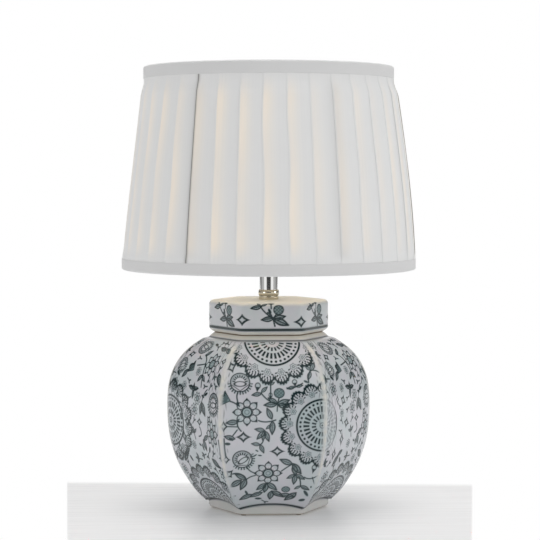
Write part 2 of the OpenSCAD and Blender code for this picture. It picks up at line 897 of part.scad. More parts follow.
module shade_fitter() {
    color("#e8e8e6")
        on_shade()
            difference() {
                union() {
                    rod_at(shade_drop, fitter_t, fitter_rim_r);
                    fitter_arms(0);
                }
                rod_at(shade_drop - 5, fitter_t + 10, fitter_r);
                rod_at(shade_drop - 5, 5, fitter_rim_r - 1);
                rod_at(shade_drop + fitter_t, 5, fitter_rim_r + 1);
            }
}

module shade_bottom_ring() {
    color("#e8e8e6")
        on_shade()
            translate([0, 0, ring_edge])
                rotate_extrude()
                    translate([shade_bottom_r - ring_inset, 0])
                        circle(r = ring_wire_r);
}

module shade_top_ring() {
    color("#e8e8e6")
        on_shade()
            translate([0, 0, shade_h - ring_edge])
                rotate_extrude()
                    translate([shade_top_r - ring_inset, 0])
                        circle(r = ring_wire_r);
}

module shade_struts() {
    spans = 10;
    low = ring_edge;
    high = shade_h - ring_edge;
    line = [for (i = [0 : spans]) let (z = ring_height(low, high, i, spans)) [strut_r(z), z]];
    color("#e8e8e6")
        on_shade()
            for (k = [0 : panels - 1])
                rotate([0, 0, panel_angle * (k + 0.5) - 90])
                    bent_wire(line, strut_wire_r);
}

// The lining, a thin skin inside the frame, slit where the arms pass
module shade_lining() {
    spans = 14;
    line = [
        for (i = [0 : spans])
            let (z = ring_height(cloth_edge, shade_h - cloth_edge, i, spans))
            [lining_r(z), z]
    ];
    color("#f6f3ec")
        on_shade()
            difference() {
                rotate_extrude()
                    polygon([
                        each line,
                        each [for (p = reversed(line)) [p[0] - lining_t, p[1]]]
                    ]);
                fitter_arms(soft_clear);
            }
}

// One panel of knife pleats, a thin folded skin between two seams
module shade_panel(number) {
    columns = [
        for (p = [0 : panel_pleats - 1], s = [0 : len(pleat_places) - 1])
            [p + pleat_places[s], pleat_depths[s]],
        [panel_pleats, 0]
    ];
    nc = len(columns);
    nr = len(panel_rows);
    span = panel_angle - seam_angle;
    start = panel_angle * (number - 1.5) + seam_angle / 2;
    side = nr * nc;
    color("#f4f2ee")
        on_shade()
            polyhedron(
                points = [
                    for (layer = [0, 1], z = panel_rows, c = columns)
                        let (a = start + span * c[0] / panel_pleats,
                             r = cover_r(z) - pleat_at(z) * c[1] - layer * cloth_t)
                        [r * sin(a), -r * cos(a), z]
                ],
                faces = [
                    for (i = [0 : nr - 2], j = [0 : nc - 2])
                        let (a = i * nc + j, b = a + 1, c = a + nc, d = c + 1)
                        each [
                            [a, c, b], [b, c, d],
                            [side + a, side + b, side + c], [side + b, side + d, side + c]
                        ],
                    for (j = [0 : nc - 2])
                        let (low = j, high = (nr - 1) * nc + j)
                        each [
                            [low, low + 1, side + low], [low + 1, side + low + 1, side + low],
                            [high, side + high, high + 1], [high + 1, side + high, side + high + 1]
                        ],
                    for (i = [0 : nr - 2])
                        let (left = i * nc, right = i * nc + nc - 1)
                        each [
                            [left, side + left, left + nc],
                            [left + nc, side + left, side + left + nc],
                            [right, right + nc, side + right],
                            [right + nc, side + right + nc, side + right]
                        ]
                ]
            );
}

// A folded tape over a ring: outer band, rounded fold, short inner band. Its
// section is drawn upwards from the fold, so that either edge can use it.
module trim_tape(edge_r, band_h) {
    width = fold_inset + trim_t;
    rotate_extrude()
        polygon([
            [edge_r, band_h],
            [edge_r - trim_t, band_h],
            for (a = [0 : 15 : 180])
                [edge_r - width / 2 + (width / 2 - trim_t) * cos(a), trim_round - (trim_round - trim_t) * sin(a)],
            [edge_r - fold_inset, trim_fold_h],
            [edge_r - width, trim_fold_h],
            for (a = [180 : -15 : 0])
                [edge_r - width / 2 + width / 2 * cos(a), trim_round - trim_round * sin(a)]
        ]);
}

module shade_bottom_trim() {
    color("#e9e8e6")
        on_shade()
            difference() {
                trim_tape(shade_bottom_r, bottom_trim_h);
                intersection() {
                    fitter_arms(soft_clear);
                    rod_at(-1, shade_h, shade_bottom_r - ring_inset);
                }
            }
}

module shade_top_trim() {
    color("#dddcda")
        on_shade()
            translate([0, 0, shade_h])
                mirror([0, 0, 1])
                    trim_tape(shade_top_r, top_trim_h);
}

jar_body();
jar_foot();
jar_floor();
jar_lid();
foot_pads();
cord_grommet();
threaded_rod();
base_gasket();
clamp_plate();
lock_washer();
base_nut();
neck_base_ring();
neck_collar();
stem_tube();
stem_cap();
lampholder_skirt();
lampholder_shell();
lampholder_insert();
screw_shell();
centre_contact();
side_contact();
terminal_screws();
shade_ring();
bulb_glass();
bulb_cap();
bulb_insulator();
bulb_tip();
bulb_stem();
bulb_filament();
shade_fitter();
shade_bottom_ring();
shade_top_ring();
shade_struts();
shade_lining();
shade_panel(1);  // shade_panel_1
shade_panel(2);  // shade_panel_2
shade_panel(3);  // shade_panel_3
shade_panel(4);  // shade_panel_4
shade_panel(5);  // shade_panel_5
shade_panel(6);  // shade_panel_6
shade_bottom_trim();
shade_top_trim();
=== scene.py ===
import math
import bpy
import numpy as np
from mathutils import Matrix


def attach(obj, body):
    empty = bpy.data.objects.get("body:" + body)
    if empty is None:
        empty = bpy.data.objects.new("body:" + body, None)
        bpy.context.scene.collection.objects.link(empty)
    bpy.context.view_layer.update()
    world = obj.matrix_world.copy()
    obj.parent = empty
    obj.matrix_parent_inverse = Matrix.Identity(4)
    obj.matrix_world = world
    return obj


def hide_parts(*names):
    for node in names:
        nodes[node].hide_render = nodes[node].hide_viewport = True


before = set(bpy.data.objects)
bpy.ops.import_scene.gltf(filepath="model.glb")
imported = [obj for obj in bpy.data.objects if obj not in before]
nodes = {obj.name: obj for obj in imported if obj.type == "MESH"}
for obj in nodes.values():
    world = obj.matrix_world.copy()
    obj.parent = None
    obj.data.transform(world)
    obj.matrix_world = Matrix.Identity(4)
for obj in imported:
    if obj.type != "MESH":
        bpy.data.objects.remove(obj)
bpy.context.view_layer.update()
TAU = 2 * math.pi


# Jar
# Slip-cast porcelain: a six-sided belly on an upright foot, with a moulded rib down each corner. A
# transfer print of wheels, flowers and sprigs in one dark green ink lies under a clear glaze.
def piece(name, points, faces, body, stands_for, layers=None):
    """A smooth mesh from points in millimetres and rows of vertex numbers. Each layer is one
    number a vertex, kept as an attribute of that name."""
    mesh = bpy.data.meshes.new(name)
    faces = np.asarray(faces, np.int32)
    n, side = faces.shape
    mesh.vertices.add(len(points))
    mesh.vertices.foreach_set("co", (np.asarray(points) / 1000).astype(np.float32).ravel())
    mesh.loops.add(n * side)
    mesh.loops.foreach_set("vertex_index", faces.ravel())
    mesh.polygons.add(n)
    mesh.polygons.foreach_set("loop_start", np.arange(0, n * side, side, dtype=np.int32))
    mesh.polygons.foreach_set("loop_total", np.full(n, side, np.int32))
    mesh.polygons.foreach_set("use_smooth", np.ones(n, bool))
    for key, values in (layers or {}).items():
        attribute = mesh.attributes.new(key, "FLOAT", "POINT")
        attribute.data.foreach_set("value", np.asarray(values, np.float32).ravel())
    mesh.update(calc_edges=True)
    mesh.validate()
    obj = bpy.data.objects.new(name, mesh)
    bpy.context.scene.collection.objects.link(obj)
    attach(obj, body)
    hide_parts(*stands_for)
    return obj


def grid_faces(rows, columns, wrap=False):
    """Quads of a grid whose rows climb and whose columns run anticlockwise from above, so that
    they face outward. With wrap, the last column joins the first."""
    i, j = np.meshgrid(np.arange(rows - 1), np.arange(columns if wrap else columns - 1), indexing="ij")
    k = (j + 1) % columns
    quads = np.stack([i * columns + j, i * columns + k, (i + 1) * columns + k, (i + 1) * columns + j], -1)
    return quads.reshape(-1, 4)


def ramp(x, low, high):
    """0 below low, 1 above high, and a smooth curve between them."""
    t = np.clip((np.asarray(x, float) - low) / (high - low), 0, 1)
    return t * t * (3 - 2 * t)


def hexagon(a):
    """Radius of the soft-cornered hexagon at angle a, as a share of its corner radius: a power
    mean of the six sides, with the first side facing -Y."""
    sides = np.maximum(0, np.cos(np.asarray(a)[..., None] - np.arange(6) * TAU / 6)) ** 24
    corner = np.maximum(0, np.cos(TAU / 12 - np.arange(6) * TAU / 6)) ** 24
    return (sides.sum(-1) / corner.sum()) ** (-1 / 24)


# Height of the widest part above the foot's underside
WIDEST_Z = 106


def belly(z, corner_r=105, below=119, above=87):
    """Corner radius of the jar at a height: a quarter of an ellipse below the widest part, and a
    fuller curve above it."""
    low, high = np.clip((WIDEST_Z - z) / below, 0, 1), np.clip((z - WIDEST_Z) / above, 0, 1)
    return corner_r * np.sqrt(np.where(z < WIDEST_Z, 1 - low ** 2.3, 1 - high ** 2.65))


def lengths(line):
    """How far along a line of points each point lies."""
    return np.concatenate([[0], np.cumsum(np.hypot(*np.diff(line, axis=0).T))])


def spread(line, n):
    """n points at even steps along a line of points."""
    line = np.asarray(line, float)
    along = lengths(line)
    t = np.linspace(0, along[-1], n)
    return np.stack([np.interp(t, along, line[:, 0]), np.interp(t, along, line[:, 1])], 1)


# The print is drawn in millimetres on the unrolled surface. ink is the dark line, wash the
# lighter tone that fills leaves and petals.
def fill(d):
    """Cover of a shape whose signed distance is d, with a soft edge."""
    return np.clip(0.66 - d / 0.46, 0, 1)


def stroke(d, half):
    """Cover of a line of that half width where d is zero."""
    return fill(np.abs(d) - half - 0.1)


def over(*covers):
    """The strongest of several covers at each point."""
    strongest = covers[0]
    for other in covers[1:]:
        strongest = np.maximum(strongest, other)
    return strongest


def ray(a, r, count):
    """Distance sideways to the nearest of count rays, at radius r."""
    return np.abs((a * count / TAU) % 1 - 0.5) * TAU / count * r


def dash(a, r, count, half, middle, reach):
    """Cover of a ring of count dashes of that half width, within reach of the middle radius."""
    return fill(np.maximum(ray(a, r, count) - half, np.abs(r - middle) - reach))


def medallion(x, y, tint=0.0, scallops=1, bold=1):
    """A wheel: a ringed disc with two rows of dashes and one of dots, inside sixteen scallops that
    each hold a small flower and end in a dark comb."""
    r, a = np.hypot(x, y) + 1e-6, np.arctan2(y, x)
    dots = fill(np.hypot(ray(a, r, 32), r - 22.1) - 1.15)
    dashes = over(dash(a, r, 28, 0.4 + 0.035 * r, 16.2, 2.9), dash(a, r, 17, 0.8, 8.8, 2.1))
    disc = over(stroke(r - 25.4, 0.8), dots, dashes, 0.7 * stroke(r - 2.6, 0.35), fill(r - 0.9))
    lobe = (a * 16 / TAU) % 1 - 0.5
    px, py = r * np.sin(lobe * TAU / 16), r * np.cos(lobe * TAU / 16) - 32.2
    q, b = np.hypot(px, py) + 1e-6, np.arctan2(py, px)
    rim = 37.2 + 5.6 * np.abs(np.cos(math.pi * lobe)) ** 0.7
    flower = over(0.75 * stroke(q - 1.0, 0.2), 0.7 * stroke(q - 2.8 - 0.4 * np.cos(6 * b), 0.2),
                  dash(b, q, 11, 0.6, 4.9, 0.9) * (py > -0.5))
    comb = over(stroke(r - rim + 1.2 - 0.5 * np.cos(96 * a), 1.4), dash(a, r, 96, 0.55, rim - 2.8, 1.7))
    ink = over(disc, scallops * over(flower, comb) * (r > 27))
    tone = over((0.2 + tint) * fill(q - 2.6), tint * 0.6 * fill(r - rim))
    wash = 0.4 * stroke(r - rim - 0.6, 0.5) * scallops + (tint + 0.05) * fill(r - 25)
    return np.clip(bold * ink, 0, 1), over(wash, scallops * tone)


def rosette(x, y):
    """A round bloom seen from the side: rings, an arc of dots, a white crescent, a frill below."""
    r, a = np.hypot(x, y) + 1e-6, np.arctan2(y, x)
    rings = over(stroke(r - 9.4, 0.42), 0.6 * stroke(r - 8.1, 0.12) * (y > -4))
    lip = np.hypot(x / 5.6, (y + 1.6) / 2.4)
    cup = 0.9 * stroke(np.abs(x) * 0.75 + (-2.2 - y) - 6.4, 0.35) * (y < -2) * (r < 9.4)
    frill = 0.95 * dash(a, r, 26, 0.55, 11, 1.5) * (y < -1.2)
    arc = dash(a, r, 18, 0.6, 6.1, 1.3) * (y > 0.2)
    ink = over(rings, arc, 0.95 * stroke((lip - 1) * 2.6, 0.35), cup, frill)
    wash = over(0.28 * fill(np.abs(r - 7.2) - 1.9) * (y > -1), 0.3 * fill(np.abs(r - 10.6) - 1.4) * (y < 0))
    return ink, wash * fill(1 - lip)


def daisy(x, y):
    """Eight round petals with dark pointed caps, round a ringed centre."""
    r, a = np.hypot(x, y) + 1e-6, np.arctan2(y, x)
    part = (a * 8 / TAU + 0.5) % 1 - 0.5
    px, py = r * np.sin(part * TAU / 8), r * np.cos(part * TAU / 8)
    petal = (np.hypot(px / 3.25, (py - 8.7) / 3.5) - 1) * 3.3
    cap = np.maximum(np.abs(px) - (14.6 - py) * 0.85, 10.9 - py)
    ink = over(stroke(r - 4.7, 0.55), 0.6 * stroke(r - 2.2, 0.25), 0.95 * stroke(petal, 0.38),
               0.95 * fill(cap) * fill(-petal), 0.45 * stroke(px, 0.16) * fill(np.abs(py - 6.6) - 1))
    return ink, over(0.6 * fill(r - 4.4), 0.3 * fill(np.maximum(petal, 8.4 - py)))


def star(x, y):
    """A hollow four-pointed star: a band inside an oval of power 0.7, whose sides curve in."""
    edge = (np.abs(x / 8.0) ** 0.7 + np.abs(y / 6.0) ** 0.7) ** (1 / 0.7) - 1
    return 0.95 * stroke(edge * 3.6 + 0.9, 0.8), 0.2 * fill(edge * 4)


def tulip(x, y):
    """A fan-shaped flower seen from the side, opening towards +y, in dark ribs and pointed tips."""
    r, a = np.hypot(x, y + 6) + 1e-6, np.arctan2(x, y + 6)
    rim = 12.2 + 3.2 * np.abs(np.cos(a * 3.6))
    body = np.maximum((np.abs(a) - 0.78) * r * 0.8, r - rim)
    ribs = 0.5 + 0.5 * np.cos(a * 26)
    ink = fill(body) * np.where(r > rim - 3.4, 0.95, 0.35 + 0.6 * ribs * (r > 4))
    return over(ink, 0.9 * stroke(body, 0.35) * (r < 16)), 0.85 * fill(body)


def leaf(x, y, dark=0.0):
    """A pointed leaf from (0, 0) to (0, 1), with a midrib and veins. It is about two fifths as
    wide as long, and the distances are for a leaf of 9 mm."""
    t = np.clip(y, 0, 1)
    half = 0.19 * np.sin(math.pi * t ** 0.85)
    d = np.hypot(np.abs(x) - half, y - t)
    inside = np.where(np.abs(x) < half, -d, d) * 9
    veins = np.abs((t * 9 - np.abs(x) * 8) % 1.5 - 0.75) - 0.22
    shade = (0.1 + dark) * np.where(x > 0, 1, 0.4)
    within = over(0.85 * stroke(x * 9, 0.2), 0.6 * fill(veins), shade) * fill(inside)
    return over(0.95 * stroke(inside, 0.36), within), 0.55 * fill(inside)


def ball(x, y):
    """A dark round berry: a disc under a net of fine lines that slant both ways."""
    edge = np.hypot(x, y) - 4.6
    net = over(stroke((x + y) % 3.2 - 1.6, 0.1), stroke((x - y) % 3.2 - 1.6, 0.1))
    return over((0.3 + 0.5 * net) * fill(edge), 0.9 * stroke(edge, 0.35)), 0.8 * fill(edge)


def bud(x, y):
    """A bud hanging towards -y: a light oval cap and a dark wedge that runs to a point."""
    point = np.maximum(np.abs(x) - 2.3 * np.clip((y + 5.2) / 5.2, 0, 1), y)
    cap = (np.hypot(x / 2.4, (y - 1.2) / 2.6) - 1) * 2.3
    return over(0.95 * fill(point) * (y > -5.6), 0.8 * stroke(cap, 0.4)), 0.3 * fill(cap)


def tick(x, y):
    """A short dark leaf without a rib: an ellipse, with a paler one close round it."""
    dark, pale = np.hypot(x / 1.3, y / 3.2) - 1, np.hypot(x / 1.6, y / 3.5) - 1
    return 0.9 * fill(dark * 1.6), 0.6 * fill(pale * 1.6)


def line_distance(x, y, line):
    """Distance to a line through the given points. Three points are taken as a smooth curve, the
    parabola that passes through them."""
    p = np.asarray(line, float)
    if len(p) == 3:
        middle = 2 * p[1] - (p[0] + p[2]) / 2
        t = np.linspace(0, 1, 13)[:, None]
        p = (1 - t) ** 2 * p[0] + 2 * t * (1 - t) * middle + t ** 2 * p[2]
    best = np.full(np.shape(x), 1e9)
    for s, e in zip(p[:-1], p[1:]):
        step = e - s
        t = np.clip(((x - s[0]) * step[0] + (y - s[1]) * step[1]) / (step @ step + 1e-9), 0, 1)
        best = np.minimum(best, np.hypot(x - s[0] - t * step[0], y - s[1] - t * step[1]))
    return best


# What each kind of motif is drawn by, how far it reaches, and the radius that strewn motifs leave free
STAMPS = {"medallion": (medallion, 45, 42), "rosette": (rosette, 13, 12), "daisy": (daisy, 16, 13.5),
          "star": (star, 9, 6.5), "tulip": (tulip, 18, 12), "ball": (ball, 6, 6), "bud": (bud, 7, 5),
          "tick": (tick, 5, 3)}


def draw(u, v, motifs):
    """Ink and wash of motifs on a grid whose rows each have one v. A motif is (kind, u, v, turn in
    degrees, width, height), a leaf ("leaf", base, tip, darkness) and a stem ("stem", half width,
    points)."""
    ink, wash = np.zeros(u.shape), np.zeros(u.shape)
    for kind, *how in motifs:
        if kind == "stem":
            half, *line = how
            middle, reach = np.mean([p[1] for p in line]), np.ptp([p[1] for p in line]) + 4
        elif kind == "leaf":
            base, tip, dark = np.array(how[0], float), np.array(how[1], float), how[2]
            middle, reach = (base[1] + tip[1]) / 2, math.dist(base, tip) + 2
        else:
            middle_u, middle, turn, wide, high = how[:5]
            painter, radius, _ = STAMPS[kind]
            reach = radius * max(wide, high)
        rows = np.nonzero(np.abs(v[:, 0] - middle) < reach)[0]
        if not len(rows):
            continue
        part = slice(rows[0], rows[-1] + 1)
        x, y = u[part], v[part]
        if kind == "stem":
            d = line_distance(x, y, line)
            new, tone = 0.95 * stroke(d, half + 0.08), 0.4 * stroke(d, half + 0.3)
        elif kind == "leaf":
            along = tip - base
            size = along @ along
            new, tone = leaf(((x - base[0]) * along[1] - (y - base[1]) * along[0]) / size,
                             ((x - base[0]) * along[0] + (y - base[1]) * along[1]) / size, dark)
        else:
            c, s = math.cos(math.radians(turn)), math.sin(math.radians(turn))
            dx, dy = (x - middle_u) / wide, (y - middle) / high
            near = np.hypot(dx, dy) < radius
            new, tone = painter(c * dx + s * dy, c * dy - s * dx, *how[5:])
            new, tone = new * near, tone * near
        ink[part] = np.maximum(ink[part], new)
        wash[part] = np.maximum(wash[part], tone)
    return ink, wash


# The six sides take turns: three are flower sides, with a half wheel at the top and a whole one
# across the right-hand corner, and three have a half wheel at the bottom. One of these has one more
# wheel across its left-hand corner.
wheel = ("medallion", 44.8, -9.5, 8, 1.0, 1.02, 0.3)
left_wheel = ("medallion", -46.0, -13.6, 4, 1.02, 1.02, 0.12)
flower_face = [
    ("medallion", -1.9, 82.6, 0, 1.05, 1.2, 0.0), wheel,
    ("rosette", -35.4, 34.2, 0, 1.0, 1.0), ("rosette", -33.2, -43.8, 38, 1.0, 0.95),
    ("daisy", -29.0, 4.4, 0, 1.0, 0.98), ("daisy", -7.7, -59.6, 0, 0.98, 0.95),
    ("star", -32.4, -20.6, 0, 1.0, 1.05), ("star", 0.6, -35.6, 0, 1.0, 1.0),
    ("star", -46.0, -60.6, 45, 0.75, 1.0), ("star", -43.4, 50.2, 20, 0.75, 1.2),
    ("star", -49.4, -44.4, 0, 0.6, 0.9), ("star", -52.2, -10.0, 90, 0.9, 0.8),
    ("tulip", -49.6, 17.2, 72, 0.78, 0.72), ("ball", 2.4, 23.2, 0, 1.05, 1.0),
    ("bud", -18.4, 29.5, -8, 1.0, 1.05), ("bud", 17.6, 33.4, 5, 0.9, 0.85),
    ("bud", 37.0, -55.0, -15, 0.9, 1.1), ("ball", 10.3, -80.0, 0, 0.85, 0.85),
    # stem and leaves that hang from the top medallion
    ("stem", 0.35, (-5.7, 37.0), (-6.0, 18.5)), ("leaf", (-5.8, 31.4), (-10.2, 34.4), 0.5),
    ("leaf", (-5.8, 31.4), (-1.6, 34.6), 0.5), ("bud", -6.0, 20.4, 0, 0.7, 0.8),
    # the spray in the middle
    ("stem", 0.35, (-15.2, 23.6), (-8.6, 16.5), (0.2, 12.4)), ("leaf", (-15.0, 24.1), (-9.0, 29.6), 0.1),
    ("leaf", (-14.8, 22.8), (-24.2, 21.4), 0.1), ("leaf", (0.0, 12.2), (-12.4, 11.4), 0.3),
    ("leaf", (0.6, 12.0), (12.4, 16.4), 0.1), ("leaf", (0.6, 11.6), (12.2, 9.6), 0.15),
    ("leaf", (0.4, 13.0), (-8.4, 18.6), 0.2), ("stem", 0.35, (0.4, 12.2), (2.2, 18.4)),
    ("stem", 0.3, (0.6, 11.2), (0.2, 5.2)), ("stem", 0.3, (0.4, 12), (5.4, 8.2)),
    ("leaf", (-4.8, -2.6), (-9.6, 8.4), 0.25),
    # stems that join the side flowers
    ("stem", 0.4, (-37.8, 23.6), (-38.6, 18.4), (-36.4, 10.4)),
    ("stem", 0.4, (-45.6, 15.4), (-41.0, 13.6), (-37.6, 11.0)),
    ("stem", 0.4, (-17.8, -4.0), (-10.5, -5.4), (-1.2, -3.6)),
    ("stem", 0.45, (-36.8, -2.8), (-38.2, -8.5), (-34.6, -14.6)),
    ("leaf", (-37.6, -5.2), (-49.6, -6.4), 0.35), ("stem", 0.3, (-38.0, -10.2), (-47.6, -10.0)),
    ("stem", 0.35, (-38.4, -13.4), (-42.6, -19.0)), ("leaf", (-40.6, -22.4), (-51.6, -20.0), 0.2),
    ("tick", -48.0, -27.6, 88, 0.9, 1.0), ("tick", -44.6, -22.6, 60, 0.8, 0.9),
    # leaves that hang in the middle
    ("leaf", (-4.2, -4.8), (-4.6, -18.0), 0.25), ("leaf", (-5.2, -8.4), (-10.6, -12.6), 0.2),
    ("leaf", (-11.6, -14.2), (-21.4, -12.6), 0.05), ("leaf", (-11.8, -14.6), (-19.2, -22.8), 0.1),
    ("leaf", (-11.2, -14.8), (-7.6, -25.2), 0.25), ("leaf", (-12.2, -14.6), (-13.6, -24.4), 0.1),
    ("stem", 0.35, (-13.0, -23.6), (-14.0, -26.4), (-16.2, -28.8)),
    ("leaf", (-16.1, -28.4), (-24.6, -27.4), 0.1), ("leaf", (-16.1, -28.4), (-12.4, -37.2), 0.35),
    ("tick", -19.2, -34.8, 40, 0.6, 0.4), ("tick", -20.6, -39.6, -40, 0.6, 0.4),
    ("tick", -16.2, -39.8, 80, 0.6, 0.5),
    # low on the left
    ("stem", 0.6, (-51.8, -22.6), (-51.0, -34.0), (-49.8, -41.6)),
    ("stem", 0.35, (-28.4, -52.6), (-25.0, -57.0), (-20.2, -59.2)),
    ("stem", 0.5, (-42.4, -60.2), (-34.6, -60.4), (-28.6, -66.8)),
    ("leaf", (-28.9, -66.2), (-39.8, -60.4), 0.45),
    ("leaf", (-29.0, -66.6), (-34.0, -79.6), 0.45), ("leaf", (-33.6, -67.6), (-45.0, -76.4), 0.3),
    ("stem", 0.35, (-28.4, -66.6), (-24.6, -63.6), (-20.2, -62.2)),
    # low on the right
    ("stem", 0.35, (5.2, -57.2), (10.4, -53.0), (15.4, -49.6)), ("leaf", (15.6, -49.6), (3.4, -44.2), 0.2),
    ("leaf", (15.8, -48.8), (24.4, -60.4), 0.35), ("leaf", (17.0, -50.0), (19.4, -62.6), 0.3),
    ("leaf", (19.0, -61.4), (10.8, -65.8), 0.4), ("leaf", (19.0, -61.6), (17.6, -73.0), 0.35),
    ("leaf", (19.4, -61.4), (28.2, -67.2), 0.4), ("stem", 0.4, (22.4, -63.6), (24.0, -69.0), (24.5, -75.6)),
    ("leaf", (24.5, -75.2), (18.6, -79.6), 0.5), ("leaf", (24.5, -75.2), (33.6, -80.6), 0.6),
    ("stem", 0.4, (27.8, -64.6), (34.1, -66.4), (42.0, -63.0)),
    ("stem", 0.25, (35.9, -64.8), (38.8, -73.4)),
    ("tick", 30.6, -84.8, 40, 1.1, 1.3), ("tick", 35.4, -77.0, 0, 0.6, 0.4),
    # the foot of the lower daisy, and the dark leaves at the bottom
    ("stem", 0.45, (-8.9, -71.6), (-11.0, -78.0), (-15.0, -82.6)),
    ("leaf", (-9.4, -71.8), (-18.2, -80.2), 0.3),
    ("leaf", (-8.8, -72.0), (-10.6, -84.2), 0.25), ("leaf", (-8.0, -71.0), (1.4, -80.8), 0.3),
    ("leaf", (-12.6, -84.2), (-24.6, -90.6), 0.6), ("leaf", (-22.4, -86.8), (-34.4, -92.4), 0.5),
    ("leaf", (-3.2, -82.2), (8.6, -92.2), 0.6), ("leaf", (4.4, -87.8), (19.4, -90.4), 0.6),
    ("leaf", (-3.6, -82.4), (-4.6, -96.0), 0.5), ("leaf", (20.6, -84.6), (10.2, -97.0), 0.4),
    ("tick", -16.0, -94.0, 80, 1.0, 1.2), ("tick", 27.0, -94.0, -70, 1.0, 1.2),
    ("tick", -28.0, -84.0, 30, 0.8, 1.0),
    # the sprigs at the upper right
    ("stem", 0.35, (9.8, 28.4), (17.0, 28.8), (25.2, 33.0)), ("leaf", (17.6, 29.4), (10.0, 27.4), 0.3),
    ("leaf", (18.6, 29.6), (25.6, 31.0), 0.3), ("leaf", (33.6, 45.6), (38.0, 55.0), 0.2),
    ("leaf", (33.4, 44.8), (30.6, 36.2), 0.3), ("stem", 0.35, (42.6, 43.8), (38.6, 46.0), (33.4, 46.4)),
    ("stem", 0.35, (33.2, 46.0), (31.4, 41.0), (31.2, 33.6)), ("leaf", (33.6, 46.4), (28.4, 51.0), 0.2),
    ("leaf", (38.4, 62.4), (46.0, 56.6), 0.5), ("tick", 44.0, 51.0, 30, 0.9, 1.0),
    ("tick", 28.6, 34.6, 70, 0.7, 0.8),
]
medallion_face = [
    ("medallion", 2.5, -97.5, 0, 1.0, 0.98, 0.12, 1, 2.2),
    ("rosette", -12.4, 69.2, 150, 0.95, 0.85), ("daisy", 19.0, 51.0, 10, 0.82, 0.95),
    ("tulip", -13.6, 44.0, 60, 0.75, 0.7), ("rosette", -33.6, 46.4, 20, 0.7, 0.8),
    ("rosette", 37.4, 11.8, 0, 0.82, 1.1), ("daisy", 34.2, -19.4, 0, 0.7, 1.0),
    ("star", 29.6, -5.0, 45, 0.6, 0.8), ("star", 11.6, -9.4, 0, 0.7, 0.8),
    ("star", -26.3, 59.2, 20, 0.8, 0.8),
    ("star", 45.4, -43.4, 0, 0.6, 0.9), ("tick", 23.0, 19.8, -60, 1.0, 1.0),
    ("tick", 17.6, 17.2, 70, 0.8, 0.9),
    ("stem", 0.45, (-1.8, 60.6), (4.6, 55.6), (7.4, 49.2)),
    ("stem", 0.45, (7.4, 49.2), (9.6, 41.0), (12.2, 26.0)),
    ("stem", 0.4, (-6.2, 47.6), (0.8, 48.8), (6.6, 50.2)), ("leaf", (9.4, 38.0), (16.4, 32.0), 0.2),
    ("leaf", (9.4, 38.4), (3.0, 31.4), 0.2), ("leaf", (-1.0, 59.4), (6.2, 66.4), 0.3),
    ("leaf", (-20.2, 41.6), (-28.0, 33.0), 0.3), ("tick", -36.4, 36.4, 60, 1.1, 1.2),
    ("bud", -1.4, 24.4, 180, 1.1, 1.0), ("leaf", (-1.6, 23.2), (-11.0, 25.4), 0.6),
    ("leaf", (-1.6, 23.2), (7.6, 24.2), 0.6), ("leaf", (-1.4, 22.0), (-2.6, 13.0), 0.4),
    ("leaf", (15.8, 10.8), (22.6, -2.0), 0.45), ("leaf", (15.6, 10.6), (13.0, -1.2), 0.3),
    ("stem", 0.35, (24.4, 24.6), (18.6, 18.0), (15.6, 9.0)),
    ("stem", 0.35, (11.8, -14.6), (14.4, -21.4), (9.2, -24.4)),
    ("leaf", (26.0, -22.0), (17.6, -27.6), 0.3), ("leaf", (17.0, -27.0), (21.0, -38.0), 0.3),
    ("tick", 14.8, -35.0, 20, 1.0, 1.1), ("tick", 26.8, -36.4, -30, 0.9, 1.1),
    ("tick", 10.0, -33.0, 70, 0.7, 0.8),
    ("stem", 0.6, (44.6, -24.6), (44.8, -34.0), (43.6, -46.0)), ("leaf", (28.0, -46.0), (38.4, -54.6), 0.2),
    ("daisy", 41.0, -62.0, 20, 0.5, 0.7), ("leaf", (-20.0, -44.6), (-29.0, -55.0), 0.5),
    ("leaf", (-13.6, -40.2), (-22.8, -45.0), 0.6), ("tick", -14.0, -50.6, 40, 1.0, 1.1),
    ("leaf", (36.0, 66.0), (27.0, 72.0), 0.3), ("leaf", (27.0, 69.0), (16.0, 72.4), 0.3),
    ("tick", 3.6, 75.0, 70, 1.0, 1.1), ("leaf", (38.4, 42.0), (44.0, 30.0), 0.3),
    ("star", 36.6, 56.0, 0, 0.6, 0.7),
]


def strewn(motifs, seed, gap):
    """Small daisies, stars and sprigs wherever the print leaves room for them, the large ones
    first. Every motif is taken as a disc, or as a row of small ones."""
    discs = []
    for kind, *how in motifs:
        if kind in STAMPS:
            discs.append((how[0], how[1], STAMPS[kind][2] * (how[3] + how[4]) / 2))
        else:
            line = np.array(how[:2] if kind == "leaf" else how[1:], float)
            for s, e in zip(line[:-1], line[1:]):
                discs += [(*(s + (e - s) * t), 2.2) for t in (0, 0.33, 0.66, 1)]
    rng = np.random.default_rng(seed)
    made, tries = [], 700
    for need, kinds in ((6.5, 3), (4.6, 3), (3.0, 1)):
        spots, turns = rng.uniform((-55, -100), (55, 79), (tries, 2)), rng.uniform(0, 360, tries)
        for (x, y), turn, pick in zip(spots, turns, rng.integers(0, 9, tries) % kinds):
            near = np.array(discs)
            if (np.hypot(near[:, 0] - x, near[:, 1] - y) - near[:, 2]).min() < need + gap:
                continue
            discs.append((x, y, need))
            if pick == 0:
                # leaves from one point, and a stem
                far, fan = (need, (-55, 0, 60, 180)) if kinds > 1 else (1.35 * need, (-35, 30, 180))
                ways = [math.radians(turn + b) for b in fan]
                *tips, end = [(x + far * math.sin(way), y + far * math.cos(way)) for way in ways]
                made += [("leaf", (x, y), tip, 0.4) for tip in tips] + [("stem", 0.3, (x, y), end)]
            elif pick == 1:
                made.append(("star", x, y, turn, need / 8, need / 6.5))
            else:
                made.append(("daisy", x, y, turn, need / 14, need / 13))
    return made


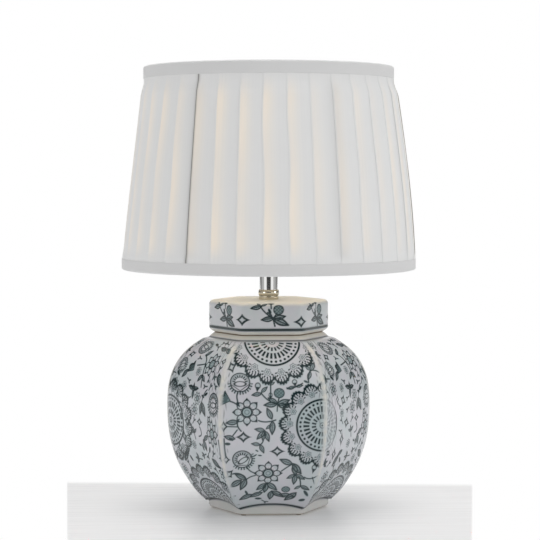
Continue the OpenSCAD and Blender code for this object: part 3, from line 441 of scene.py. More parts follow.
# The strewn motifs also keep clear of the wheels that reach over from the sides next to theirs
flower_face += strewn(flower_face + [("medallion", -59, -13.6, 4, 0.9, 1.0)], 3, 0.9)
reached_over = [("medallion", -52, -9.5, 0, 0.6, 0.6), ("medallion", 51, -11, 0, 0.65, 0.8)]
medallion_face += strewn(medallion_face + reached_over, 5, 0.1)

# The profile runs up the outside, from the foot's inner edge to the rim under the lid, in corner
# radii and heights above the foot's underside. The felt dots under the foot are PAD high.
PAD = 0.8
FOOT_R, FOOT_ROUND = 59.2, 3.4
SIDE_LOW, SIDE_HIGH = 10.8, 176.6
quarter = np.linspace(0, math.pi / 2, 7)[1:]
foot = [(53.0, 0.4), (53.6, 0.0), (FOOT_R, 0.0)]
foot += [(FOOT_R + FOOT_ROUND * math.sin(t), FOOT_ROUND * (1 - math.cos(t))) for t in quarter]
foot += [(62.6, 8.9), (62.8, 9.4), (63.4, 9.75), (65.2, 9.85), (65.95, 10.0), (66.35, 10.4)]
side_z = SIDE_LOW + (SIDE_HIGH - SIDE_LOW) * (1 - np.cos(np.linspace(0, math.pi, 240))) / 2
shoulder = [(66.6, 177.15), (64.4, 177.6), (62.6, 177.95), (61.7, 178.6), (59.3, 181.0), (57.2, 182.5),
            (56.2, 183.0), (50.5, 183.2)]
ROWS, COLUMNS = 448, 216
profile = spread(foot + list(zip(belly(side_z), side_z)) + shoulder, ROWS)
# Distance up the middle of a side from the level of the widest part
up_face = lengths(np.stack([profile[:, 0] * hexagon(0.0), profile[:, 1]], 1))
up_face -= np.interp(WIDEST_Z, profile[:, 1], up_face)


def around_inlet(points, faces):
    """Leaves out the quads where the rubber bush of the cord inlet fills its notch in the foot."""
    x, y, z = points[faces].mean(1).T
    return faces[~((np.abs(x) < 3.75) & (y > 40) & (z < PAD + 8.5))]


# How far the print lies to the right of the middle of each side, as a share of the corner radius
PRINT_SHIFT = 0.0348


def jar_side(k):
    """One printed side. A point is at a share s of the half width, on the soft hexagon at its own
    height, with a low rib along each corner that fades out at the shoulder and the foot. The belly
    comes down over the foot in a shallow arch, lowest at the corners."""
    s = np.linspace(-1, 1, COLUMNS)[None, :]
    r, z = profile[:, :1], profile[:, 1:2]
    half = r / 2
    a = np.arctan(s * math.tan(TAU / 12)) + 0 * z
    to_corner = (1 - np.abs(s)) * half
    rib = 0.85 * np.exp(-(to_corner / 2.0) ** 2) * ramp(z, 9.8, 26) * (1 - ramp(z, 160, 177))
    arch = (1.7 - 5.0 * np.abs(s) ** 2.2) * ramp(z, 3.6, 9.4) * (1 - ramp(z, 12, 34))
    radius, angle = r * hexagon(a) + rib, a + k * TAU / 6
    points = np.stack([radius * np.sin(angle), -radius * np.cos(angle), z + PAD + arch], -1).reshape(-1, 3)
    u, v = s * half - PRINT_SHIFT * r, up_face[:, None] + 0 * s
    motifs = flower_face if k % 2 == 0 else medallion_face
    ink, wash = draw(u, v, motifs + [left_wheel] * (k == 5))
    if k in (1, 3):
        # the wheel of the side before goes on round the corner, faint and without its scallops
        thin = 0.3 + 0.7 * ramp(to_corner, 14, 26)
        more = draw(u + 2 * half, v, [(*wheel, 0)])
        ink, wash = np.maximum(ink, thin * more[0]), np.maximum(wash, thin * more[1])
    # flecks where the print has run beside the ribs, further in on the sides with the darker print
    darker = k % 2
    reach = 9 + 16 * darker
    fray = np.sin(to_corner * 1.5 + 2.2 * np.sin(z / 6.5))
    fray = fray * np.sin(z / 3.1 + to_corner * 0.5 + 2 * np.sin(z / 11))
    beside = ramp(to_corner, 2, 5) * (1 - ramp(to_corner, reach * 0.6, reach)) * ramp(z, 50, 80)
    ink = over(np.clip(ink * (1 + 0.5 * darker), 0, 1), 0.6 * np.clip(1.6 * fray - 0.3, 0, 1) * beside)
    # the print is worn thin on the ribs, and ends in a line at the shoulder and one above the foot
    show = (0.12 + 0.88 * ramp(to_corner, 1.2, 4.6)) * ramp(z, 10.6, 12.2) * (1 - ramp(z, 176.9, 177.6))
    shoulder_line = 0.95 * np.exp(-((z - 178.15) / 0.55) ** 2)
    foot_line = np.clip(1.5 * np.exp(-((z - 10.0) / 1.15) ** 2), 0, 1) * (r > 62)
    ink, wash = over(ink * show, shoulder_line, foot_line), wash * show
    # the glaze is creamy at the rim. On the foot it is lighter, partly its own cream and partly painted
    # light thrown up from the table. Along each rib runs a pale streaked band, partly glaze pooled on
    # the rib and partly a painted highlight that widens upwards
    streak = 0.75 + 0.25 * np.sin(z / 2.3 + 3 * np.sin(z / 7.1))
    broad = 2.0 + 2.4 * ramp(z, 60, 150)
    # painted highlight: the pale band along each rib, streaked and broader higher up
    rib_pool_and_highlight = 0.72 * streak * np.exp(-(to_corner / broad) ** 2) * ramp(z, 20, 60) * (1 - ramp(z, 172, 177))
    cream_and_painted_light = over(0.65 * ramp(z, 178.4, 180) + 0.45 * (1 - ramp(z, 7.4, 9)), rib_pool_and_highlight)
    # it is wiped off where the foot stands and where the lid rests
    foot_bare = 0.9 * (1 - ramp(z, 0.4, 1.4)) * ramp(r, 58, 60)
    seat_bare = 0.9 * (z > 181.9) * ramp(r, 40, 56) * (1 - ramp(r, 56.0, 57.6))
    layers = {"ink": ink, "wash": wash, "cream_and_painted_light": cream_and_painted_light, "bare": foot_bare + seat_bare + 0 * s}
    faces = around_inlet(points, grid_faces(ROWS, COLUMNS))
    return piece(f"jar_side_{k + 1}", points, faces, "base", ["jar_body", "jar_foot"], layers)


sides = [jar_side(k) for k in range(6)]


# Jar inside
# The rest of the same casting: the seat for the lid, the ring that stands up in the mouth, the
# glazed inside, the floor with its rod hole, and the recess.
def around(line, name, stands_for, layers=None, steps=288):
    """A surface through rings given as (corner radius, height, 1 for a hexagon or 0 for a circle).
    Each corner of the profile is kept crisp by a ring close on either side of it."""
    line = np.array(line, float)
    rings = [line[0]]
    for before, here, after in zip(line[:-2], line[1:-1], line[2:]):
        for other in (before, after):
            rings.append(here + (other - here) * min(0.4, 0.3 / np.hypot(*(other - here)[:2])))
    rings = np.array(rings + [line[-1]])
    a = np.linspace(0, TAU, steps, endpoint=False)[None, :]
    r = rings[:, :1] * (1 + rings[:, 2:] * (hexagon(a) - 1))
    points = np.stack([r * np.sin(a), -r * np.cos(a), rings[:, 1:2] + 0 * r], -1).reshape(-1, 3)
    faces = around_inlet(points, grid_faces(len(rings), steps, wrap=True))
    flat = {key: np.repeat(value(rings), steps) for key, value in (layers or {}).items()}
    return piece(name, points, faces, "base", stands_for, flat)


cavity_z = np.linspace(174.5, 25, 24)
cavity = belly(cavity_z, corner_r=99, below=113, above=81)
inside_line = [(50.5, 183.2, 1), (43.97, 183.0, 0), (43.97, 193.0, 0), (38.97, 193.0, 0), (38.97, 175.5, 0)]
inside_line += [(r, z, 1) for r, z in zip(cavity, cavity_z)]
inside_line += [(5.3, 25.0, 0), (5.3, 19.0, 0), (60.6, 19.0, 1), (52.6, 12.0, 1), (53.0, 0.4, 1)]
inside_line = [(r, z + PAD, h) for r, z, h in inside_line]
jar_inside = around(inside_line, "jar_inside", ["jar_body", "jar_foot", "jar_floor"],
                    {"bare": lambda g: 0.9 * ((g[:, 1] > 183) & (g[:, 1] < 184.2) & (g[:, 0] > 43))})


# Glazed porcelain: the ground is a cold white that varies a little over a few centimetres, and the
# ink lies under a clear coat that has a faint ripple.
def material(name, **values):
    """A Principled material with those values on the shader, and its node tree and shader."""
    made = bpy.data.materials.new(name)
    made.use_nodes = True
    shader = made.node_tree.nodes["Principled BSDF"]
    for key, value in values.items():
        value = (*value, 1) if isinstance(value, tuple) else value
        shader.inputs[key.replace("_", " ")].default_value = value
    return made, made.node_tree, shader


def node(tree, kind, links=(), **values):
    """A shader node, with its options and values set. links is rows of (input, socket)."""
    made = tree.nodes.new(kind)
    for key, value in values.items():
        if key in made.inputs:
            made.inputs[key].default_value = value
        else:
            setattr(made, key, value)
    for key, socket in links:
        tree.links.new(socket, made.inputs[key])
    return made


def layer(tree, name):
    """The socket of a vertex attribute."""
    return node(tree, "ShaderNodeAttribute", attribute_name=name).outputs["Fac"]


def feed(tree, slots, values):
    """Gives each input its value: a socket, one number, or three for a colour."""
    for slot, value in zip(slots, values):
        if isinstance(value, bpy.types.NodeSocket):
            tree.links.new(value, slot)
        else:
            slot.default_value = (*value, 1) if isinstance(value, tuple) else value


def maths(tree, operation, *values):
    """The socket of a sum of sockets or numbers."""
    made = node(tree, "ShaderNodeMath", operation=operation)
    feed(tree, made.inputs, values)
    return made.outputs[0]


def blend(tree, a, b, share):
    """The socket of a mix of two colours, each a socket or three numbers."""
    made = node(tree, "ShaderNodeMix", data_type="RGBA")
    feed(tree, [s for s in made.inputs if s.type == "RGBA"], (a, b))
    feed(tree, [s for s in made.inputs if s.type == "VALUE"], (share,))
    return [s for s in made.outputs if s.type == "RGBA"][0]


def noise(tree, scale, detail=2.0):
    """The socket of a noise over object coordinates, at a scale per metre."""
    place = node(tree, "ShaderNodeTexCoord").outputs["Object"]
    return node(tree, "ShaderNodeTexNoise", [("Vector", place)], Scale=scale, Detail=detail).outputs["Fac"]


def bump(tree, shader, height, depth):
    """Puts a bump of that depth in metres on the shader."""
    made = node(tree, "ShaderNodeBump", [("Height", height)], Strength=1.0, Distance=depth)
    tree.links.new(made.outputs["Normal"], shader.inputs["Normal"])


def dress(made, *pieces):
    """Gives pieces their material, a CAD node by its name."""
    for one in pieces:
        obj = nodes[one] if isinstance(one, str) else one
        if obj.data.materials:
            for place in obj.material_slots:
                place.material = made
        else:
            obj.data.materials.append(made)


glaze, tree, shader = material("glaze", IOR=1.5, Specular_IOR_Level=0.42)
tree.links.new(maths(tree, "MULTIPLY_ADD", layer(tree, "matt"), 0.5, 0.11), shader.inputs["Roughness"])
cloud = node(tree, "ShaderNodeMapRange", [("Value", noise(tree, 38))], **{"From Min": 0.35, "From Max": 0.65})
colour = blend(tree, (0.53, 0.58, 0.60), (0.60, 0.595, 0.64), cloud.outputs["Result"])
for name, tone in {"cream_and_painted_light": (0.76, 0.73, 0.64), "wash": (0.20, 0.32, 0.33), "ink": (0.010, 0.026, 0.029),
                   "bare": (0.36, 0.27, 0.17)}.items():
    colour = blend(tree, colour, tone, layer(tree, name))
tree.links.new(colour, shader.inputs["Base Color"])
bump(tree, shader, noise(tree, 130), 0.00012)
dress(glaze, *sides, jar_inside)


# Lid
# A six-sided porcelain cap with a flat top, cast and printed like the jar. It tucks in at the
# bottom to a bare edge that rests on the jar's rim.
sprig = [
    ("stem", 0.35, (-0.2, 218.0), (0.0, 211.5)), ("tick", -0.2, 217.8, 90, 0.9, 0.9),
    ("tick", -1.6, 209.0, 20, 1.0, 0.8),
    ("ball", 7.2, 210.4, 0, 1.04, 1.04), ("stem", 0.4, (5.0, 206.0), (2.6, 202.4)),
    ("stem", 0.42, (-10.4, 213.6), (-5.8, 207.5), (1.6, 201.6)),
    ("leaf", (-9.4, 214.0), (-20.2, 211.8), 0.45),
    ("leaf", (-9.8, 214.4), (-3.6, 218.0), 0.45), ("leaf", (-10.2, 214.2), (-14.0, 218.6), 0.3),
    ("leaf", (0.9, 202.4), (-4.0, 208.0), 0.6), ("leaf", (2.2, 201.6), (-9.8, 200.2), 0.5),
    ("leaf", (2.2, 201.4), (14.0, 203.8), 0.35), ("leaf", (2.4, 201.2), (16.8, 194.8), 0.3),
    ("stem", 0.5, (1.8, 201.4), (3.6, 193.8)), ("tick", 1.8, 201.6, 40, 1.2, 0.8),
]
# one star at each corner: how far it lies past the corner, and its height
star_place = [(-0.6, 198.0), (-0.4, 199.2), (0.8, 200.0), (-1.0, 198.6), (0.5, 199.6), (1.8, 200.2)]
# how far the sprig of each side lies off its middle, and how far up
sprig_place = [(0, 0), (-1.3, -1.6), (1, 0), (-1, -1), (2, -0.5), (3.8, -1.6)]
# heights above the lid's lower edge, and the round edge at the top
LID_Z, LID_R, LID_TOP, LID_ROUND = 184.1, 62.0, 33.4, 4.6
TOP_ROWS, ROD_HOLE_R = 12, 5.3
lid_line = [(50.9, 0.0), (56.2, 0.0), (56.9, 0.15), (59.25, 1.5), (61.2, 3.25), (61.8, 4.3), (LID_R, 5.4)]
lid_line += [(LID_R - LID_ROUND * (1 - math.cos(t)), LID_TOP - LID_ROUND * (1 - math.sin(t)))
             for t in np.linspace(0, math.pi / 2, 10)]
LID_ROWS, LID_COLUMNS = 172, 576
outer = spread(lid_line, LID_ROWS - TOP_ROWS)
inward = np.linspace(56.8, ROD_HOLE_R, TOP_ROWS)
outer = np.concatenate([outer, np.stack([inward, np.full(TOP_ROWS, LID_TOP)], 1)])
r, z = outer[:, :1], outer[:, 1:2]
a = np.linspace(0, TAU, LID_COLUMNS, endpoint=False)[None, :]
nearest = np.round(a / (TAU / 6))
u = r * np.tan(a - nearest * TAU / 6) / math.tan(TAU / 12) / 2
# the print runs on over the edge of the top for a few millimetres
v = LID_Z + z + (LID_R - np.minimum(r, LID_R)) * (z > 20) + 0 * u
ink, wash = np.zeros(u.shape), np.zeros(u.shape)
for k in range(6):
    at = nearest[0] % 6 == k
    aside, up = sprig_place[k]
    stars = [("star", place - way * LID_R / 2, height, 0, 1.15, 1.1)
             for way, (place, height) in ((1, star_place[k - 1]), (-1, star_place[k]))]
    for u_from, v_from, motifs in ((0, 0, stars), (aside, up, sprig)):
        new, tone = draw(u[:, at] - u_from, v[:, at] - v_from, motifs)
        ink[:, at], wash[:, at] = np.maximum(ink[:, at], new), np.maximum(wash[:, at], tone)
on_side = ramp(z, 5.6, 6.2) * (1 - ramp(v, LID_Z + 35.4, LID_Z + 36.2))
line_below = np.clip(1.8 * np.exp(-((z - 5.8) / 1.3) ** 2), 0, 1) * (r > 55)
# the top and its round edge are painted creamy-warm, a stand-in for the bulb's light falling on them; the
# tucked lower edge is creamy too
layers = {"ink": np.maximum(np.clip(1.3 * ink * on_side, 0, 1), line_below), "wash": wash * on_side,
          "cream_and_painted_light": np.maximum(0.65 * (1 - ramp(z, 2.9, 4.3)), 0.9 * ramp(z, 29, 33)) + 0 * u,
          "matt": ramp(z, 31, 33) + 0 * u, "bare": 0.95 * (1 - ramp(z, 0.1, 0.9)) * (r > 50) + 0 * u}
radius = r * (1 + (hexagon(a) - 1) * ramp(r, ROD_HOLE_R, 30))
points = np.stack([radius * np.sin(a), -radius * np.cos(a), LID_Z + z + 0 * u], -1).reshape(-1, 3)
lid = piece("lid_outside", points, grid_faces(LID_ROWS, LID_COLUMNS, wrap=True), "base",
            ["jar_lid"], layers)
lid_in = [(ROD_HOLE_R, LID_TOP, 0), (ROD_HOLE_R, 27.8, 0), (54.4, 27.8, 1), (56.4, 25.8, 1), (56.4, 5.0, 1),
          (50.9, 0.0, 1)]
lid_inside = around([(r, z + LID_Z, h) for r, z, h in lid_in], "lid_inside", ["jar_lid"])
dress(glaze, lid, lid_inside)


# Fixings under the jar and up the rod
# A hollow brass rod with a fine rolled thread runs up through jar and lid. A rubber washer, a
# zinced plate, a toothed washer and a brass nut close it below. Felt dots stand on the table.
def metal(name, colour, scale, more, low):
    """A metal whose roughness runs from low to low + more in a noise."""
    made, tree, shader = material(name, Base_Color=colour, Metallic=1.0)
    tree.links.new(maths(tree, "MULTIPLY_ADD", noise(tree, scale), more, low), shader.inputs["Roughness"])
    return made


def mottled(name, one, other, scale, detail=2.0, **values):
    """A material whose colour runs between two in a noise, with its node tree and shader."""
    made, tree, shader = material(name, **values)
    tree.links.new(blend(tree, one, other, noise(tree, scale, detail)), shader.inputs["Base Color"])
    return made, tree, shader


def grained(name, scale, depth, **values):
    """A material of one colour with a fine unevenness, that depth in metres."""
    made, tree, shader = material(name, **values)
    bump(tree, shader, noise(tree, scale), depth)
    return made


rolled_brass, tree, shader = material("rolled_brass", Base_Color=(0.62, 0.45, 0.19), Metallic=1.0,
                                      Roughness=0.3)
place = node(tree, "ShaderNodeTexCoord").outputs["Object"]
height = node(tree, "ShaderNodeSeparateXYZ", [("Vector", place)]).outputs["Z"]
bump(tree, shader, maths(tree, "PINGPONG", height, 0.0005), 0.6)
sheet_brass = metal("sheet_brass", (0.66, 0.48, 0.2), 400, 0.2, 0.22)
zinc, *_ = mottled("zinced_steel", (0.52, 0.55, 0.58), (0.68, 0.69, 0.68), 300, Metallic=1.0, Roughness=0.38)
rubber = grained("rubber", 900, 0.00008, Base_Color=(0.022, 0.023, 0.025), Roughness=0.62)
felt, tree, shader = mottled("felt", (0.13, 0.12, 0.10), (0.24, 0.22, 0.19), 1500, 4, Roughness=0.95,
                             Sheen_Weight=0.5)
bump(tree, shader, noise(tree, 2200, 4), 0.0003)
dress(rolled_brass, "threaded_rod")
dress(sheet_brass, "base_nut")
dress(rubber, "base_gasket", "cord_grommet")
dress(zinc, "clamp_plate", "lock_washer", "terminal_screws")
dress(felt, "foot_pads")


# Stem
# Turned and tube brass under bright plating: a plain ring on the lid and a collar with a rounded
# rim, both warmer in tone, then the chrome tube and the cap that the lampholder stands on.
dress(metal("chrome", (0.80, 0.80, 0.79), 250, 0.05, 0.02), "stem_tube", "stem_cap")
dress(metal("nickel_brass", (0.58, 0.53, 0.42), 250, 0.06, 0.05), "neck_base_ring", "neck_collar")


# Lampholder and shade ring
# Moulded white plastic housings and ring round a glazed ceramic block. The shell and contacts are
# pressed from brass sheet.
plastic = grained("moulded_plastic", 700, 0.00005, Base_Color=(0.80, 0.79, 0.75), Roughness=0.35, IOR=1.5,
                  Subsurface_Weight=0.05, Subsurface_Scale=0.002)
ceramic, *_ = mottled("ceramic", (0.74, 0.72, 0.66), (0.82, 0.80, 0.75), 200, Roughness=0.3)
dress(plastic, "lampholder_skirt", "lampholder_shell", "shade_ring")
dress(ceramic, "lampholder_insert")
dress(sheet_brass, "screw_shell", "centre_contact", "side_contact")


# Bulb
# A 60 mm bulb of glass frosted inside, lit: warm, and a little brighter towards the middle of the
# ball. Its nickelled cap is rolled with the thread.
def revolve(name, profile, body, stands_for, steps, wave):
    """A surface of revolution round Z: the profile is a list of (radius, height), going round it
    so that the outside climbs, and it closes where its last point is its first. wave(angle, height)
    is added to the radius."""
    line = np.array(profile, float)
    closed = np.allclose(line[0], line[-1])
    line = line[:-1] if closed else line
    a = np.linspace(0, TAU, steps, endpoint=False)[None, :]
    r = line[:, :1] + wave(a, line[:, 1:2])
    points = np.stack([r * np.sin(a), -r * np.cos(a), line[:, 1:2] + 0 * r], -1)
    faces = grid_faces(len(line) + closed, steps, wrap=True) % (len(line) * steps)
    return piece(name, points.reshape(-1, 3), faces, body, stands_for)


TIP_Z, THREAD_PITCH, THREAD_DEPTH = 293.4, 3.629, 0.84
cap_line = [(10, 4.0), (13.1, 6.5)] + [(13.12, z) for z in np.linspace(7, 24, 120)]
outside = len(cap_line)
cap_line += [(13.15, 25), (12.35, 25), (12.35, 24), (12.3, 23.5), (12.3, 7.2), (10, 4.6)]


def thread(a, z):
    """A round groove that climbs one pitch a turn, on the outside alone, and fades at both ends."""
    groove = (1 + np.cos(TAU * (z / THREAD_PITCH - a / TAU))) * THREAD_DEPTH / 2
    ends = ramp(z - TIP_Z, 7, 9) * (1 - ramp(z - TIP_Z, 20, 22))
    return -groove * ends * (np.arange(len(z))[:, None] < outside)


screw_cap = revolve("bulb_screw_cap", [(r, z + TIP_Z) for r, z in cap_line], "bulb",
                    ["bulb_cap"], 144, thread)
frost, tree, shader = material("frosted_glass", Base_Color=(0.95, 0.90, 0.80), Roughness=0.45, IOR=1.5,
                               Emission_Color=(1.0, 0.72, 0.40), Subsurface_Weight=0.2,
                               Subsurface_Scale=0.005)
facing = maths(tree, "SUBTRACT", 1.0, node(tree, "ShaderNodeLayerWeight", Blend=0.35).outputs["Facing"])
tree.links.new(maths(tree, "MULTIPLY_ADD", facing, 2.4, 0.6), shader.inputs["Emission Strength"])
clear = grained("clear_glass", 120, 0.00005, Base_Color=(0.96, 0.98, 0.98), Roughness=0.02, IOR=1.5,
                Transmission_Weight=1.0)
black_glass = grained("black_glass", 400, 0.00004, Base_Color=(0.015, 0.015, 0.018), Roughness=0.12)
wire = grained("filament_wire", 1200, 0.00005, Metallic=1.0, Base_Color=(0.30, 0.29, 0.28), Roughness=0.4,
               Emission_Color=(1.0, 0.6, 0.25), Emission_Strength=1.0)
dress(metal("nickelled_cap", (0.66, 0.65, 0.62), 500, 0.15, 0.25), screw_cap, "bulb_tip")
dress(frost, "bulb_glass")
dress(black_glass, "bulb_insulator")
dress(clear, "bulb_stem")
dress(wire, "bulb_filament")


# Shade frame
# Welded steel wire, dipped white: an upper and a lower ring, six struts that lean in from one to
# the other, and on three arms a flat fitting, which the shade ring clamps on the lampholder.
dress(grained("dipped_wire", 600, 0.0001, Base_Color=(0.78, 0.78, 0.76), Roughness=0.4),
      "shade_fitter", "shade_bottom_ring", "shade_top_ring", "shade_struts")


# Shade cover
# Six panels of off-white cotton in knife pleats, six pleats each, sewn side to side over the
# struts. The pleats stand out on the side and are flat under the trims.
SHADE_Z, SHADE_H, SHADE_TURN = 249.05, 209.6, math.radians(-4.7)
BOTTOM_R, TOP_R = 152.6, 129.6
PLEATS, PITCH = 6, 26


def pressed(z):
    """1 where a trim presses the cloth flat, falling to 0 on the free side: below, and above."""
    return 1 - ramp(z, 12, 22), 1 - ramp(SHADE_H - 13 - z, 0, 18)


def cover(z):
    """Outside radius of the pleats: a side that leans in and bows out a little, drawn in by a
    quarter of a millimetre under the trims."""
    t = np.clip(z / SHADE_H, 0, 1)
    low, high = pressed(z)
    free = BOTTOM_R - (BOTTOM_R - TOP_R) * t + 2.3 * np.sin(math.pi * t ** 0.7)
    return free * (1 - low - high) + (BOTTOM_R - 0.25) * low + (TOP_R - 0.25) * high


def pleat_depth(z):
    """How far the cloth falls from one fold to the next: 1.1 mm, and 0.6 mm under the trims."""
    return 1.1 - 0.5 * np.maximum(*pressed(z))


# One pleat from its folded edge: share of the pitch, and share of the depth. The cloth comes out
# from under the fold, turns over it, runs down to the next one and in under that.
fold = [(0.19, 1.02), (0.1, 1.01), (0.03, 0.99), (-0.03, 0.95), (-0.041, 0.86), (-0.042, 0.72),
        (-0.034, 0.55), (-0.018, 0.37), (0.006, 0.2), (0.038, 0.08), (0.07, 0.02)]
face = [(0.11, 0.0), (0.16, 0.03), (0.22, 0.1), (0.32, 0.28), (0.43, 0.45), (0.55, 0.61), (0.66, 0.74),
        (0.77, 0.84), (0.87, 0.91), (0.955, 0.95)]
under = [(1.06, 1.0), (1.14, 1.0), (1.19, 1.0), (1.2, 1.01)]
# What a panel's first pleat starts with and its last one ends with, turned in at the seam
seam_start, seam_end = [(-0.03, 1.25)] + fold[3:], [(0.985, 1.0), (0.995, 1.3)]
shade_z = np.concatenate([np.linspace(2.2, 24, 22), np.linspace(26, 176, 76), np.linspace(178, 207.4, 26)])
sway = np.random.default_rng(7).normal(0, 1, (6 * PLEATS, 6))
# How dark each seam's shadow is, from the one at the left of the front panel, and how much of the
# lamp's light shows through each pleat, counted from the same seam
SEAMS = (1.0, 0.0, 0.6, 0.8, 0.5, 0.7)
shine = {0: 0.8, 1: 1.0, 2: 0.9, 3: 0.9, 4: 0.85, 5: 0.5, 6: 0.6, 7: 0.45, 8: 0.35,
         32: 0.6, 33: 0.75, 34: 0.85, 35: 0.9}


def cloth_panel(number):
    """One panel between two seams: each pleat's outline is laid off from the cover inwards, at its
    share of the pitch round the shade. The folds sway a little up the side, no two alike."""
    start, span = (number - 1.5) * 60 + 0.125, 59.75
    z = shade_z[:, None]
    free = 1 - np.maximum(*pressed(z))
    angles, radii, glow, across = [], [], [], []
    for j in range(PLEATS):
        pleat = (number - 1) * PLEATS + j
        path = (fold if j else seam_start) + face + (under if j < PLEATS - 1 else seam_end)
        p, depth = np.array(path).T[:, None, :]
        s = sway[pleat]
        drift = (0.02 * s[0] * np.sin(z / 46 + 2 * s[1]) + 0.014 * s[2] * np.sin(z / 17 + 3 * s[3])) * free
        drift = drift * np.clip(1 - np.abs(p - 0.02) * 1.1, 0, 1) * (j > 0)
        depth = np.clip(depth * (1 + 0.10 * s[4] * free), 0, 1.15)
        soft = 0.2 * s[5] * np.sin(math.pi * np.clip(p, 0, 1)) * np.sin(z / 61 + s[1]) * free
        angles.append(start + span / PLEATS * (j + p + drift))
        radii.append(cover(z) - pleat_depth(z) * depth - np.abs(soft) * (p > 0.1) * (p < 0.95))
        band = ramp(p, -0.03, 0.05) * np.exp(-(np.maximum(p - 0.08, 0) / 0.34) ** 2) * shine.get(pleat, 0.6)
        band = band * ramp(z, 10, 34) * (1 - ramp(z, 168, 200))
        glow.append(band * (0.8 + 0.2 * np.sin(z / 23 + 5 * s[1])))
        across.append(p * PITCH + PITCH * j + 0 * z)
    angles, radii, glow, across = (np.concatenate(each, 1) for each in (angles, radii, glow, across))
    angle = np.radians(angles) + SHADE_TURN
    # the wire frame is a little out of true, and bows more on one side
    r = radii + 1.6 * np.sin(angle + 0.05) * np.sin(math.pi * z / SHADE_H) ** 0.8 * free
    points = np.stack([r * np.sin(angle), -r * np.cos(angle), SHADE_Z + z + 0 * r], -1).reshape(-1, 3)
    left, right = across, PITCH * PLEATS - across
    # painted shadow along each seam: dark at the seam itself, and faint for a few millimetres either side
    seam_shadow = over(np.exp(-left / 1.1) * SEAMS[number - 1], np.exp(-right / 1.1) * SEAMS[number % 6],
                0.13 * np.exp(-(np.minimum(left, right) / 8) ** 2) * free)
    obj = piece(f"pleated_panel_{number}", points, grid_faces(*r.shape), "shade",
                [f"shade_panel_{number}"], {"glow": glow, "across": across, "up": z + 0 * r, "seam_shadow": seam_shadow})
    return obj


def weave(name, colour, pitch=0.55):
    """Plain woven cotton: two sets of fine threads across each other, in millimetres."""
    made, tree, shader = material(name, Base_Color=colour, Roughness=0.85, Sheen_Weight=0.25,
                                  Sheen_Roughness=0.5)
    threads = [maths(tree, "SINE", maths(tree, "MULTIPLY", layer(tree, key), TAU / pitch))
               for key in ("across", "up")]
    bump(tree, shader, maths(tree, "ADD", maths(tree, "MULTIPLY", *threads), noise(tree, 260)), 0.00006)
    return made, tree, shader


panels = [cloth_panel(n) for n in range(1, 7)]
COTTON = (0.88, 0.885, 0.885)
cotton, tree, shader = weave("pleated_cotton", COTTON)
lit = blend(tree, COTTON, (0.89, 0.82, 0.72), layer(tree, "glow"))
yarn = node(tree, "ShaderNodeTexNoise", [("W", maths(tree, "MULTIPLY", layer(tree, "across"), 0.45))],
            noise_dimensions="1D", Scale=1.0, Detail=3.0).outputs["Fac"]
lit = blend(tree, lit, (0.70, 0.71, 0.72), maths(tree, "MULTIPLY", yarn, 0.22))
# the painted seam shadow darkens the cloth towards grey-brown
seam_shaded = blend(tree, lit, (0.20, 0.19, 0.18), maths(tree, "MULTIPLY", layer(tree, "seam_shadow"), 0.8))
tree.links.new(seam_shaded, shader.inputs["Base Color"])
shader.inputs["Emission Color"].default_value = (1.0, 0.82, 0.62, 1)
glowing = maths(tree, "MULTIPLY_ADD", layer(tree, "glow"), 0.13, 0.012)
tree.links.new(glowing, shader.inputs["Emission Strength"])
dress(cotton, *panels)


# Lining
# One smooth sheet of white cotton, half a millimetre thick, pulled tight round the inside of the
# frame and held along both edges by the trims.
def round_cloth(name, line, stands_for, ripple=0.08):
    """Cloth of revolution, as thick as it is, with a faint ripple round it. The line is its section
    above the shade's lower edge, from the bottom up the outside and down the inside."""
    obj = revolve(name, [(r, z + SHADE_Z) for r, z in line], "shade", stands_for, 288,
                  lambda a, z: ripple * np.sin(9 * a + z / 31) * np.sin(14 * a - z / 57))
    points = np.array([v.co for v in obj.data.vertices]) * 1000
    for key, values in {"across": np.arctan2(points[:, 0], -points[:, 1]) * 140, "up": points[:, 2]}.items():
        obj.data.attributes.new(key, "FLOAT", "POINT").data.foreach_set("value", values.astype(np.float32))
    return obj


heights = np.linspace(2.2, 207.4, 40)
liner = cover(heights) - 6.7 + 1.5 * np.maximum(*pressed(heights))
line = list(zip(liner, heights)) + list(zip(liner[::-1] - 0.5, heights[::-1])) + [(liner[0], heights[0])]
lining = round_cloth("shade_lining_cloth", line, ["shade_lining"],
                     ripple=0.1)
dress(weave("lining_cotton", (0.84, 0.82, 0.78))[0], lining)


# Shade trims
# Bias tape, folded over each ring and sewn: a band outside, a round fold, and a shorter turn
# inside.
def tape(edge, band, inner=7.0, width=7.7, thick=0.7):
    """Section of a folded tape, as (radius, height above the fold): a half circle at the fold,
    a straight band up the outside with a turned edge, and a shorter straight turn inside."""
    half = width / 2
    t = np.linspace(0, math.pi, 25)
    outside = [(edge - half + half * math.cos(x), 2.0 - 2.0 * math.sin(x)) for x in t[::-1]]
    inside = [(edge - half + (half - thick) * math.cos(x), 2.0 - (2.0 - thick) * math.sin(x)) for x in t]
    rise = [(edge, z) for z in np.linspace(2.6, band - 0.5, 14)]
    rise += [(edge - 0.12, band - 0.12), (edge - 0.35, band), (edge - thick, band - 0.1)]
    fall = [(edge - thick, z) for z in np.linspace(band - 0.6, 2.6, 12)]
    start, end = (edge - width, inner), (edge - width + thick, inner)
    return [start] + outside + rise + fall + inside + [end, start]


bottom = round_cloth("bottom_trim_tape", tape(BOTTOM_R, 12), ["shade_bottom_trim"])
top_line = [(r, SHADE_H - z) for r, z in tape(TOP_R, 13)][::-1]
topper = round_cloth("top_trim_tape", top_line, ["shade_top_trim"])
dress(weave("bias_tape", (0.75, 0.75, 0.75))[0], bottom, topper)


